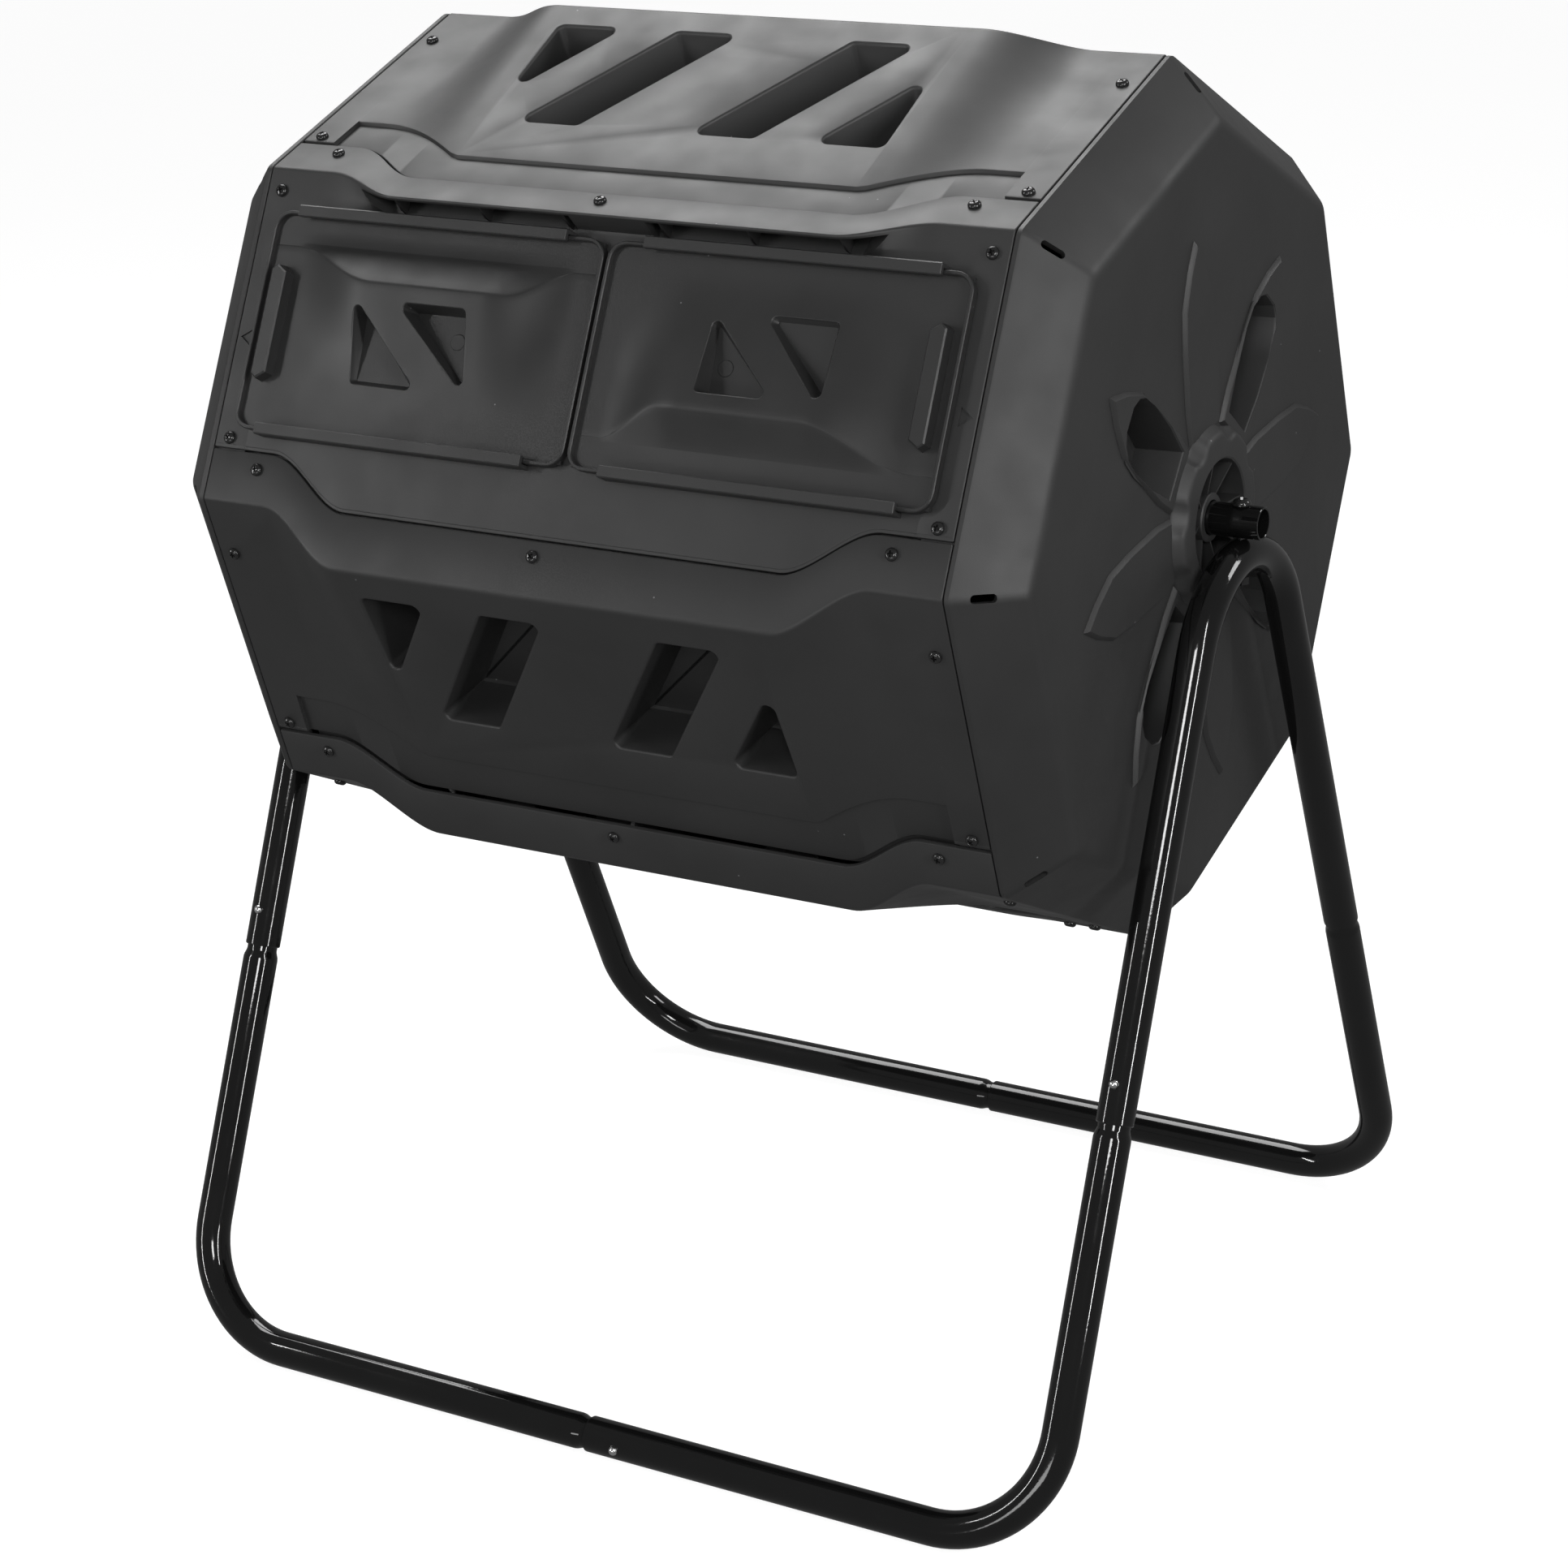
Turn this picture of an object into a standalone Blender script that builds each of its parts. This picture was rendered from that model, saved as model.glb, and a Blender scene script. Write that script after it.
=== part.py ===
"""Compost tumbler: an octagonal two-chamber drum that turns on an axle tube carried by a tubular stand.

X runs along the axle, the doors are on the -Y side and Z is up. The floor is z = 0.
Each panel of the drum is modelled as if it lay on top of the drum, facing up, and is then turned
about the axle into its place. There, x runs along the drum, "down" is the distance from the panel's
upper corner line, and "out" is the height above the flat side of the octagon.
"""

import math

import bmesh
import bpy
from mathutils import Matrix, Vector

GAP = 0.0003                    # between pieces that touch

# Drum
CORNER_RADIUS = 0.2965          # axle to each corner of the octagon
SIDES = 8
REST_TURN = math.radians(-4.1)  # the drum's turn at rest, about the axle
AXLE_HEIGHT = 0.6215
PANEL_HALF_LENGTH = 0.2765
WALL = 0.003
STEP = math.tau / SIDES
SIDE_WIDTH = 2 * CORNER_RADIUS * math.sin(STEP / 2)
FLAT_RADIUS = CORNER_RADIUS * math.cos(STEP / 2)

# Side panels
FLANGE_WIDTH = 0.0345           # strip that laps over the neighbour above
FLANGE_DROP = 0.0325            # how far the strip's edge drops in the middle of the drum
SWELL = 0.035                   # how far the corner line is carried out in the middle
SWELL_DOOR = 0.025              # the same on the door panel, where it makes the hood
CURVE_OUTER = PANEL_HALF_LENGTH - 0.0485   # the S-curves run between these two places along the drum
CURVE_INNER = CURVE_OUTER - 0.065
LIP_OUTER = PANEL_HALF_LENGTH - 0.025      # the sunk lip ends here, short of the caps' sleeves
LIP_LENGTH = 0.030
LIP_SINK = 0.003
LIP_GAP = 0.0035                # slot between a lip and the strip below it
TONGUE = 0.024                  # reach of the tongue under the next strip
TONGUE_MIDDLE = 0.0025          # the same in the middle of the drum
TONGUE_OUTER = PANEL_HALF_LENGTH - 0.0305
TONGUE_SINK = LIP_SINK + WALL + 0.0004
TONGUE_WALL = 0.0028
FACE_LAP = 0.002

# Pockets in the side panels
POCKET_TOP = 0.048
POCKET_BOTTOM = SIDE_WIDTH - 0.0749
POCKET_HALF_SPREAD = CURVE_INNER - 0.0135
POCKET_SLANT = 0.665
POCKET_LINES = (0.291, 0.602, 0.903)       # shares of the half spread where the slanted lines cross
POCKET_DEPTH = 0.042
POCKET_DRAFT = 0.005
POCKET_CORNER = 0.007

# Screws
SCREW_HEAD_RADIUS = 0.0043
SCREW_HEAD_HEIGHT = 0.0028
SCREW_RADIUS = 0.0019
SCREW_LENGTH = 0.0132
SCREW_CLEARANCE = 0.0005
END_SCREW_X = PANEL_HALF_LENGTH - 0.0115
END_SCREW_DOWN = (0.0425, SIDE_WIDTH - 0.0434)
DOOR_END_SCREW_DOWN = (0.0155, SIDE_WIDTH - 0.0424)
STRIP_SCREW_X = PANEL_HALF_LENGTH - 0.0385
STRIP_SCREW_DOWN = -0.0234
MIDDLE_SCREW_X = -0.0125
MIDDLE_SCREW_DOWN = 0.0083

# Door panel and doors
OPENING_TOP = 0.042
OPENING_BOTTOM = SIDE_WIDTH - 0.0639
OPENING_INNER = 0.027
OPENING_OUTER = PANEL_HALF_LENGTH - 0.0385
RAIL_INNER = 0.029
RAIL_OUTER = PANEL_HALF_LENGTH - 0.0375
RAIL_WALL = 0.0028
RAIL_HEIGHT = 0.012
RAIL_LIP = 0.0078
RAIL_LIP_THICKNESS = 0.0036
DOOR_TOP = 0.0295
DOOR_BOTTOM = SIDE_WIDTH - 0.0489
DOOR_INNER = 0.0013
DOOR_OUTER = PANEL_HALF_LENGTH - 0.0158
DOOR_SIDE_GAP = 0.0005
DOOR_LIFT = 0.0007
DOOR_PLATE = 0.0027
DOOR_RIM_HEIGHT = 0.0063
DOOR_RIM_WIDTH = 0.0026
DOOR_CORNER = 0.011
BULGE_HEIGHT = 0.011
HOOD_FLOOR = 0.0245             # where the hood's groove comes back to the flat
HOOD_SINK = 0.005
HOOD_BOSS = 0.028               # between these the hood holds the middle screw's tab
HOOD_BOSS_REACH = 0.0191
HOOD_RIBS = (0.036, 0.100, CURVE_INNER + 0.003)
RIB_THICKNESS = 0.0016
ARROW_X = PANEL_HALF_LENGTH - 0.006
ARROW_DOWN = SIDE_WIDTH - 0.111
ARROW_SIZE = 0.006
ARROW_DEPTH = 0.0012

# End caps
CAP_GAP = 0.0008
CAP_RIM = 0.004
CAP_DEPTH = 0.0403
CAP_START = PANEL_HALF_LENGTH + CAP_GAP
CAP_FACE_X = CAP_START + CAP_DEPTH
CAP_FACE_RADIUS = CORNER_RADIUS - 0.0388
SLEEVE_LENGTH = 0.024
PETALS = 8
PETAL_TURN = math.radians(11.8)  # first petal, from the first corner
PETAL_HEIGHT = 0.003
PETAL_OUTLINE = ((0.061, 0.0230), (0.080, 0.0260), (0.150, 0.0225), (0.190, 0.0))
PETAL_POCKET = ((0.070, 0.0160), (0.126, 0.0222), (0.145, 0.0200), (0.155, 0.0090))
PETAL_POCKET_DEPTH = 0.030
BOSS_BASE_RADIUS = 0.064
BOSS_TOP_RADIUS = 0.0555
BOSS_HEIGHT = 0.010
RECESS_RADIUS = 0.0395
RECESS_DEPTH = 0.0393
AXLE_RADIUS = 0.011
HUB_RADIUS = AXLE_RADIUS + 0.0055
HUB_RIBS = 4
VENT_LENGTH = 0.017
VENT_WIDTH = 0.005
VENT_PLACE = 0.41               # along the corner line, from the rim to the face
VENT_OUTLINE = ((-1, -0.5), (-1, 0.5), (-0.7, 1), (0.7, 1), (1, 0.5), (1, -0.5), (0.7, -1), (-0.7, -1))

# Divider
DIVIDER_THICKNESS = 0.003
DIVIDER_CLEARANCE = 0.001
TAB_REACH = 0.022
TAB_START = 0.0045              # past the corner, on the side above
TAB_END = 0.0122
TAB_THICKNESS = 0.0024

# Axle and stand
AXLE_BORE = AXLE_RADIUS - 0.0015
BEARING_CLEARANCE = 0.0004
TUBE_RADIUS = 0.0125
TUBE_WALL = 0.0013
TUBE_SIDES = 12
LEG_CLEARANCE = 0.0019          # between a cap's boss and the leg
LEG_X = CAP_FACE_X + BOSS_HEIGHT + LEG_CLEARANCE + TUBE_RADIUS
AXLE_HALF_LENGTH = LEG_X + TUBE_RADIUS + 0.003
FOOT_Y = 0.305
LEG_VIRTUAL_TOP = AXLE_HEIGHT + 0.095      # where the legs' centre lines would cross
FOOT_BEND_RADIUS = 0.080
LEG_JOINT_HEIGHT = 0.2705
PLUG_LENGTH = 0.045
HOLE_CLEARANCE = 0.0004
PLUG_RADIUS = TUBE_RADIUS - TUBE_WALL - HOLE_CLEARANCE
NECK_LENGTH = 0.008
BUTTON_SETBACK = 0.026
BUTTON_RADIUS = 0.0033
BUTTON_STAND = 0.0032           # how far a button stands out of the tube
BUTTON_FLANGE_RADIUS = BUTTON_RADIUS + 0.0013
PLUG_BORE = PLUG_RADIUS - 0.002
BOLT_RADIUS = 0.003
BOLT_HEAD_RADIUS = 0.0062
BOLT_HEAD_HEIGHT = 0.0042
NUT_RADIUS = 0.0058
NUT_HEIGHT = 0.005

FACETS = math.cos(math.pi / TUBE_SIDES)   # flat radius of a many-sided tube over its corner radius
DOOR_SIDE = 1                   # the doors' place in the row of sides, counted from the top front


# ---------------------------------------------------------------- scene and small helpers

def clear_scene():
    for item in list(bpy.data.objects):
        bpy.data.objects.remove(item, do_unlink=True)


def new_collection(name):
    collection = bpy.data.collections.new(name)
    bpy.context.scene.collection.children.link(collection)
    return collection


def new_material(name, colour, roughness, metallic=0.0):
    material = bpy.data.materials.new(name)
    material.use_nodes = True
    shader = material.node_tree.nodes["Principled BSDF"]
    shader.inputs["Base Color"].default_value = (*colour, 1.0)
    shader.inputs["Roughness"].default_value = roughness
    shader.inputs["Metallic"].default_value = metallic
    return material


def new_object(name, mesh, collection, parent=None):
    item = bpy.data.objects.new(name, mesh)
    collection.objects.link(item)
    item.parent = parent
    return item


def mesh_from(build, name):
    """A mesh from a function that fills a bmesh, with its faces turned outwards."""
    work = bmesh.new()
    build(work)
    bmesh.ops.recalc_face_normals(work, faces=work.faces)
    mesh = bpy.data.meshes.new(name)
    work.to_mesh(mesh)
    work.free()
    return mesh


def smooth(item, angle=35):
    item.data.shade_smooth()
    item.data.set_sharp_from_angle(angle=math.radians(angle))


def cutter_from(mesh, parent=None):
    cutter = new_object("cutter_" + mesh.name, mesh, cutters, parent)
    cutter.hide_render = True
    cutter.display_type = "WIRE"
    return cutter


def combine(item, other, operation):
    modifier = item.modifiers.new(operation.lower(), "BOOLEAN")
    modifier.operation = operation
    modifier.object = other
    modifier.solver = "EXACT"


def cut(item, mesh):
    combine(item, cutter_from(mesh, item.parent), "DIFFERENCE")


def join(item, mesh):
    combine(item, cutter_from(mesh, item.parent), "UNION")


def baked_mesh(item, name):
    """The object's mesh with its modifiers applied; the object and its helpers are then removed."""
    bpy.context.view_layer.update()
    graph = bpy.context.evaluated_depsgraph_get()
    mesh = bpy.data.meshes.new_from_object(item.evaluated_get(graph))
    mesh.name = name
    helpers = [m.object for m in item.modifiers if m.type == "BOOLEAN"]
    for helper in helpers:
        bpy.data.objects.remove(helper, do_unlink=True)
    bpy.data.objects.remove(item, do_unlink=True)
    return mesh


# ---------------------------------------------------------------- shapes

def prism_mesh(name, lower, upper):
    """A closed body between two outlines that have the same number of points."""

    def build(work):
        rings = [[work.verts.new(point) for point in ring] for ring in (lower, upper)]
        count = len(lower)
        for i in range(count):
            j = (i + 1) % count
            work.faces.new((rings[0][i], rings[0][j], rings[1][j], rings[1][i]))
        work.faces.new(rings[0])
        work.faces.new(rings[1])

    return mesh_from(build, name)


def loft_mesh(name, stations):
    """A closed body through a row of outlines that have the same number of points."""

    def build(work):
        rings = [[work.verts.new(point) for point in ring] for ring in stations]
        count = len(rings[0])
        for near, far in zip(rings, rings[1:]):
            for i in range(count):
                j = (i + 1) % count
                work.faces.new((near[i], near[j], far[j], far[i]))
        work.faces.new(rings[0])
        work.faces.new(rings[-1])

    return mesh_from(build, name)


def box_mesh(name, low, high):
    centre = (Vector(low) + Vector(high)) / 2
    size = Vector(high) - Vector(low)

    def build(work):
        matrix = Matrix.Translation(centre) @ Matrix.Diagonal((*size, 1.0))
        bmesh.ops.create_cube(work, size=1.0, matrix=matrix)

    return mesh_from(build, name)


def hull_mesh(name, points):

    def build(work):
        corners = [work.verts.new(point) for point in points]
        bmesh.ops.convex_hull(work, input=corners)

    return mesh_from(build, name)


def rod_mesh(name, radius, start, end, sides):
    """A straight rod from start to end, whose corners lie at the radius."""
    axis = Vector(end) - Vector(start)
    middle = (Vector(start) + Vector(end)) / 2
    spin = axis.to_track_quat("Z", "Y").to_matrix().to_4x4()
    matrix = Matrix.Translation(middle) @ spin

    def build(work):
        bmesh.ops.create_cone(work, cap_ends=True, segments=sides, radius1=radius, radius2=radius,
                              depth=axis.length, matrix=matrix)

    return mesh_from(build, name)


def turned_object(name, profile, steps, collection, parent=None):
    """A solid of revolution about local Z from a closed profile of (radius, height) points."""
    mesh = bpy.data.meshes.new(name)
    points = [(radius, 0.0, height) for radius, height in profile]
    count = len(points)
    closed = profile[0][0] > 0 or profile[-1][0] > 0
    edges = [(i, (i + 1) % count) for i in range(count if closed else count - 1)]
    mesh.from_pydata(points, edges, [])
    item = new_object(name, mesh, collection, parent)
    screw = item.modifiers.new("turn", "SCREW")
    screw.axis = "Z"
    screw.angle = math.tau
    screw.steps = steps
    screw.render_steps = steps
    screw.use_merge_vertices = True
    screw.merge_threshold = 0.00001
    screw.use_normal_calculate = True
    return item


def turned_mesh(name, profile, steps):
    mesh = baked_mesh(turned_object(name, profile, steps, cutters), name)
    work = bmesh.new()
    work.from_mesh(mesh)
    bmesh.ops.recalc_face_normals(work, faces=work.faces)
    work.to_mesh(mesh)
    work.free()
    return mesh


def tube_object(name, points, radii, radius, collection, parent=None):
    """A solid bar along a row of points, with a flat side down on the level runs, made a mesh."""
    curve = bpy.data.curves.new(name, "CURVE")
    curve.dimensions = "3D"
    curve.twist_mode = "Z_UP"
    curve.bevel_depth = radius
    curve.bevel_resolution = (TUBE_SIDES - 4) // 2
    curve.use_fill_caps = True
    spline = curve.splines.new("POLY")
    spline.points.add(len(points) - 1)
    for point, place, share in zip(spline.points, points, radii):
        point.co = (*place, 1.0)
        point.radius = share / radius
        point.tilt = math.pi / TUBE_SIDES
    drawn = new_object(name + "_curve", curve, collection, parent)
    bpy.context.view_layer.update()
    graph = bpy.context.evaluated_depsgraph_get()
    mesh = bpy.data.meshes.new_from_object(drawn.evaluated_get(graph))
    mesh.name = name
    work = bmesh.new()
    work.from_mesh(mesh)
    bmesh.ops.remove_doubles(work, verts=work.verts, dist=0.000005)
    bmesh.ops.recalc_face_normals(work, faces=work.faces)
    work.to_mesh(mesh)
    work.free()
    item = new_object(name, mesh, collection, parent)
    item.matrix_world = drawn.matrix_world
    bpy.data.objects.remove(drawn, do_unlink=True)
    return item


def cut_bore(tube, points, radii):
    """Hollows a bent tube from end to end, with its wall kept even where the tube is necked."""
    first = points[0] + (points[0] - points[1]).normalized() * 0.002
    last = points[-1] + (points[-1] - points[-2]).normalized() * 0.002
    inside = [PLUG_BORE if radius == PLUG_RADIUS else TUBE_RADIUS - TUBE_WALL for radius in radii]
    bore = tube_object("bore", [first, *points[1:-1], last], inside, TUBE_RADIUS, cutters)
    mesh = baked_mesh(bore, "bore")
    cut(tube, mesh)


def rounded(corners, radius, pieces=1):
    """The outline with each corner replaced by a short arc of straight pieces."""
    outline = []
    count = len(corners)
    for i in range(count):
        here = Vector(corners[i])
        before = (Vector(corners[i - 1]) - here).normalized()
        after = (Vector(corners[(i + 1) % count]) - here).normalized()
        half = before.angle(after) / 2
        reach = radius / math.tan(half)
        centre = here + (before + after).normalized() * radius / math.sin(half)
        start = here + before * reach - centre
        end = here + after * reach - centre
        sweep = start.angle_signed(end)
        for k in range(pieces + 1):
            arm = start.copy()
            arm.rotate(Matrix.Rotation(-sweep * k / pieces, 2))
            outline.append(tuple(centre + arm))
    return outline


def grown(outline, amount):
    """The outline moved outwards by an amount, corner by corner."""
    area = sum(a[0] * b[1] - b[0] * a[1] for a, b in zip(outline, outline[1:] + outline[:1]))
    side = 1 if area > 0 else -1
    moved = []
    count = len(outline)
    for i in range(count):
        here = Vector(outline[i])
        back = (here - Vector(outline[i - 1])).normalized()
        ahead = (Vector(outline[(i + 1) % count]) - here).normalized()
        normal = Vector((back.y + ahead.y, -back.x - ahead.x)).normalized()
        stretch = 1 / max(0.3, normal.dot(Vector((back.y, -back.x))))
        moved.append(tuple(here + side * normal * amount * stretch))
    return moved


def ease(value):
    value = min(1.0, max(0.0, value))
    return value * value * (3 - 2 * value)


def place(x, down, out):
    """A point of a panel that lies on top of the drum."""
    return Vector((x, SIDE_WIDTH / 2 - down, FLAT_RADIUS + out))


def on_side_above(distance, out=0.0):
    """(down, out) of a point on the plane of the side above: distance past the corner, height off it."""
    sine, cosine = math.sin(STEP), math.cos(STEP)
    return distance * cosine - out * sine, distance * sine + out * cosine


# ---------------------------------------------------------------- drum panels

def middle_share(x):
    return ease((CURVE_OUTER - abs(x)) / (CURVE_OUTER - CURVE_INNER))


def strip_edge(x):
    """Distance of the strip's free edge past the corner, on the side above."""
    return -FLANGE_WIDTH + FLANGE_DROP * middle_share(x)


def lip_end(x):
    return SIDE_WIDTH + strip_edge(x) - LIP_GAP


def face_end(x):
    """How far down the raised face of a side panel reaches."""
    if abs(x) > LIP_OUTER:
        return lip_end(x) - FACE_LAP
    share = min(1.0, max(0.0, (CURVE_OUTER - abs(x)) / (CURVE_OUTER - CURVE_INNER + 0.010)))
    flat = SIDE_WIDTH - FLANGE_WIDTH - LIP_GAP - LIP_LENGTH
    return flat + 0.033 * (1 - math.cos(share * math.pi / 2))


def face_height(down, swell):
    """Height of the swollen face in the middle of the drum."""
    start = swell * math.cos(STEP)
    end = face_end(0)
    return start * (end - down) / (end - start)


def tongue_reach(x):
    if abs(x) > TONGUE_OUTER:
        return 0.0006
    return TONGUE + (TONGUE_MIDDLE - TONGUE) * middle_share(x)


def tongue_profile(x, has_lip):
    """The lower edge: (down, out) points from the face's end round to the inner side."""
    top = face_end(x) if has_lip else lip_end(x) - FACE_LAP
    end = lip_end(x)
    if abs(x) > LIP_OUTER:
        return [(top, 0), (top + 0.0004, -0.0004), (end - 0.0012, -0.0008), (end - 0.0008, -0.0012),
                (end, -0.0016), (end, -WALL), (end - 0.0014, -WALL), (end - 0.0022, -WALL),
                (top - 0.0008, -WALL), (top - 0.0016, -WALL)]
    sink = LIP_SINK if has_lip else 0.0008
    low = TONGUE_SINK
    deep = TONGUE_SINK + TONGUE_WALL
    return [(top, 0), (top + 0.0006, -sink), (end, -sink), (end + 0.0003, -low),
            (end + tongue_reach(x), -low), (end + tongue_reach(x), -deep), (end - 0.0027, -deep),
            (end - 0.0032, -sink - WALL), (top - 0.0016, -sink - WALL), (top - 0.0022, -WALL)]


def side_panel_profile(x):
    share = middle_share(x)
    crease = SWELL * share
    inset = WALL * math.tan(STEP / 2)
    outer = [on_side_above(strip_edge(x)), on_side_above(crease)]
    tongue = tongue_profile(x, True)
    inner = [on_side_above(crease - inset, -WALL), on_side_above(strip_edge(x), -WALL)]
    return outer + tongue + inner


def panel_stations(inner):
    half = [*inner, CURVE_INNER - 0.013, CURVE_INNER]
    half += [CURVE_INNER + (CURVE_OUTER - CURVE_INNER) * k / 4 for k in (1, 2, 3)]
    half += [CURVE_OUTER, TONGUE_OUTER, TONGUE_OUTER + 0.002, LIP_OUTER - 0.0004, LIP_OUTER + 0.0004]
    half += [PANEL_HALF_LENGTH]
    return [-x for x in reversed(half)] + half


def panel_shell(name, profile_at, inner=()):
    stations = [[place(x, *point) for point in profile_at(x)] for x in panel_stations(inner)]
    return new_object(name, loft_mesh(name, stations), cutters)


def pocket_outlines():
    """The four pockets' corner points (x, down) between slanted lines in a box."""
    middle = (POCKET_TOP + POCKET_BOTTOM) / 2
    edge = POCKET_HALF_SPREAD
    inner, mid, outer = (share * edge for share in POCKET_LINES)

    def on_line(offset, down):
        return offset - POCKET_SLANT * (down - middle), down

    def meets_edge(offset, x):
        return x, middle + (offset - x) / POCKET_SLANT

    triangle_left = [(-edge, POCKET_TOP), on_line(-outer, POCKET_TOP), meets_edge(-outer, -edge)]
    triangle_right = [(edge, POCKET_BOTTOM), on_line(outer, POCKET_BOTTOM), meets_edge(outer, edge)]
    slots = []
    for near, far in ((-mid, -inner), (inner, mid)):
        slots.append([on_line(near, POCKET_TOP), on_line(far, POCKET_TOP),
                      on_line(far, POCKET_BOTTOM), on_line(near, POCKET_BOTTOM)])
    return [triangle_left, *slots, triangle_right]


def pocket_body(name, outline, lift, floor):
    """A tapering block with its top along the swollen face and its floor below it."""
    narrow = grown(outline, -POCKET_DRAFT)
    upper = [place(x, down, face_height(down, SWELL) + lift) for x, down in outline]
    lower = [place(x, down, face_height(down, SWELL) - floor) for x, down in narrow]
    return prism_mesh(name, lower, upper)


def add_pockets(panel):
    for corners in pocket_outlines():
        outline = rounded(corners, POCKET_CORNER)
        join(panel, pocket_body("pocket_wall", grown(outline, WALL), -WALL / 2, POCKET_DEPTH + WALL))
    for corners in pocket_outlines():
        outline = rounded(corners, POCKET_CORNER)
        cut(panel, pocket_body("pocket_space", outline, 0.008, POCKET_DEPTH))


def screw_places(end_rows):
    """Each screw of a panel: its point and its direction out of the drum, on a panel lying on top."""
    out = Vector((0, 0, 1))
    places = [(place(x, down, 0), out) for x in (-END_SCREW_X, END_SCREW_X) for down in end_rows]
    above = Vector((0, math.sin(STEP), math.cos(STEP)))
    strip = [(-STRIP_SCREW_X, STRIP_SCREW_DOWN), (MIDDLE_SCREW_X, MIDDLE_SCREW_DOWN),
             (STRIP_SCREW_X, STRIP_SCREW_DOWN)]
    for x, distance in strip:
        places.append((place(x, *on_side_above(distance)), above))
    return places


def tongue_screw_places():
    """Where the next panel's strip screws pass through this panel's tongue."""
    out = Vector((0, 0, 1))
    rows = [(-STRIP_SCREW_X, STRIP_SCREW_DOWN), (MIDDLE_SCREW_X, MIDDLE_SCREW_DOWN),
            (STRIP_SCREW_X, STRIP_SCREW_DOWN)]
    return [(place(x, SIDE_WIDTH + distance, 0), out) for x, distance in rows]


def screw_hole_mesh(point, direction):
    return rod_mesh("screw_hole", SCREW_RADIUS + SCREW_CLEARANCE, point - direction * 0.016,
                    point + direction * 0.004, 6)


def drill(item, places):
    for point, direction in places:
        cut(item, screw_hole_mesh(point, direction))


def side_panel_mesh():
    panel = panel_shell("side_panel", side_panel_profile)
    add_pockets(panel)
    drill(panel, screw_places(END_SCREW_DOWN) + tongue_screw_places())
    return baked_mesh(panel, "side_panel")


# ---------------------------------------------------------------- door panel

def door_panel_profile(x):
    share = middle_share(x)
    crease = SWELL_DOOR * share
    sink = HOOD_SINK * share
    inset = WALL * math.tan(STEP / 2)
    boss = 1.0 if abs(x) < HOOD_BOSS else 0.0
    edge = on_side_above(crease)
    under = on_side_above(crease, -WALL)
    root_at = crease * 0.12 + 0.001
    root = on_side_above(root_at + (HOOD_BOSS_REACH - root_at) * boss, -WALL * share - 0.0003 * share)
    floor_start = (0.007 + 0.001 * share + 0.0081 * boss, -sink)
    inside = -inset - 0.002 * share
    inside += (HOOD_BOSS_REACH - WALL - inside) * boss
    outer = [on_side_above(strip_edge(x)), edge]
    if share > 0.02:
        groove = [under, root, floor_start, (HOOD_FLOOR - 0.0015, -sink), (HOOD_FLOOR, 0.0)]
    else:
        groove = [(0.0015, 0.0), (0.004, 0.0), (0.007, 0.0), (HOOD_FLOOR - 0.0015, 0.0), (HOOD_FLOOR, 0.0)]
    inner = [(HOOD_FLOOR + 0.002, -WALL), (HOOD_FLOOR + 0.001, -sink - WALL),
             (0.0085 + 0.0049 * boss, -sink - WALL),
             on_side_above(inside, -WALL - 0.001 * share * (1 - boss)),
             on_side_above(strip_edge(x), -WALL)]
    return outer + groove + tongue_profile(x, False) + inner


def rail_mesh(side, at_top):
    """An angle rail that stands on the panel and laps over the door's rim."""
    if at_top:
        wall_edge = DOOR_TOP - DOOR_SIDE_GAP
        back, tip = wall_edge - RAIL_WALL, wall_edge - RAIL_WALL + RAIL_LIP
    else:
        wall_edge = DOOR_BOTTOM + DOOR_SIDE_GAP
        back, tip = wall_edge + RAIL_WALL, wall_edge + RAIL_WALL - RAIL_LIP
    under = RAIL_HEIGHT - RAIL_LIP_THICKNESS
    section = [(back, -WALL / 2), (wall_edge, -WALL / 2), (wall_edge, under), (tip, under),
               (tip, RAIL_HEIGHT), (back, RAIL_HEIGHT)]
    ends = [[place(side * x, *point) for point in section] for x in (RAIL_INNER, RAIL_OUTER)]
    return prism_mesh("door_rail", *ends)


def hood_rib_mesh(x):
    tip = on_side_above(SWELL_DOOR - 0.004, -WALL / 2)
    section = [(0.004, -0.002), tip, (HOOD_FLOOR - 0.003, 0.0), (HOOD_FLOOR - 0.002, -HOOD_SINK - 0.001),
               (0.008, -HOOD_SINK - 0.001)]
    half = RIB_THICKNESS / 2
    ends = [[place(x + edge, *point) for point in section] for edge in (-half, half)]
    return prism_mesh("hood_rib", *ends)


def arrow_mesh(side):
    """The sunk arrow that shows which way a door slides shut."""
    tip = (side * (ARROW_X + ARROW_SIZE / 2), ARROW_DOWN)
    back = side * (ARROW_X - ARROW_SIZE)
    corners = [tip, (back, ARROW_DOWN - ARROW_SIZE), (back, ARROW_DOWN + ARROW_SIZE)]
    return prism_mesh("arrow", [place(*corner, -ARROW_DEPTH) for corner in corners],
                      [place(*corner, ARROW_DEPTH) for corner in corners])


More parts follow.
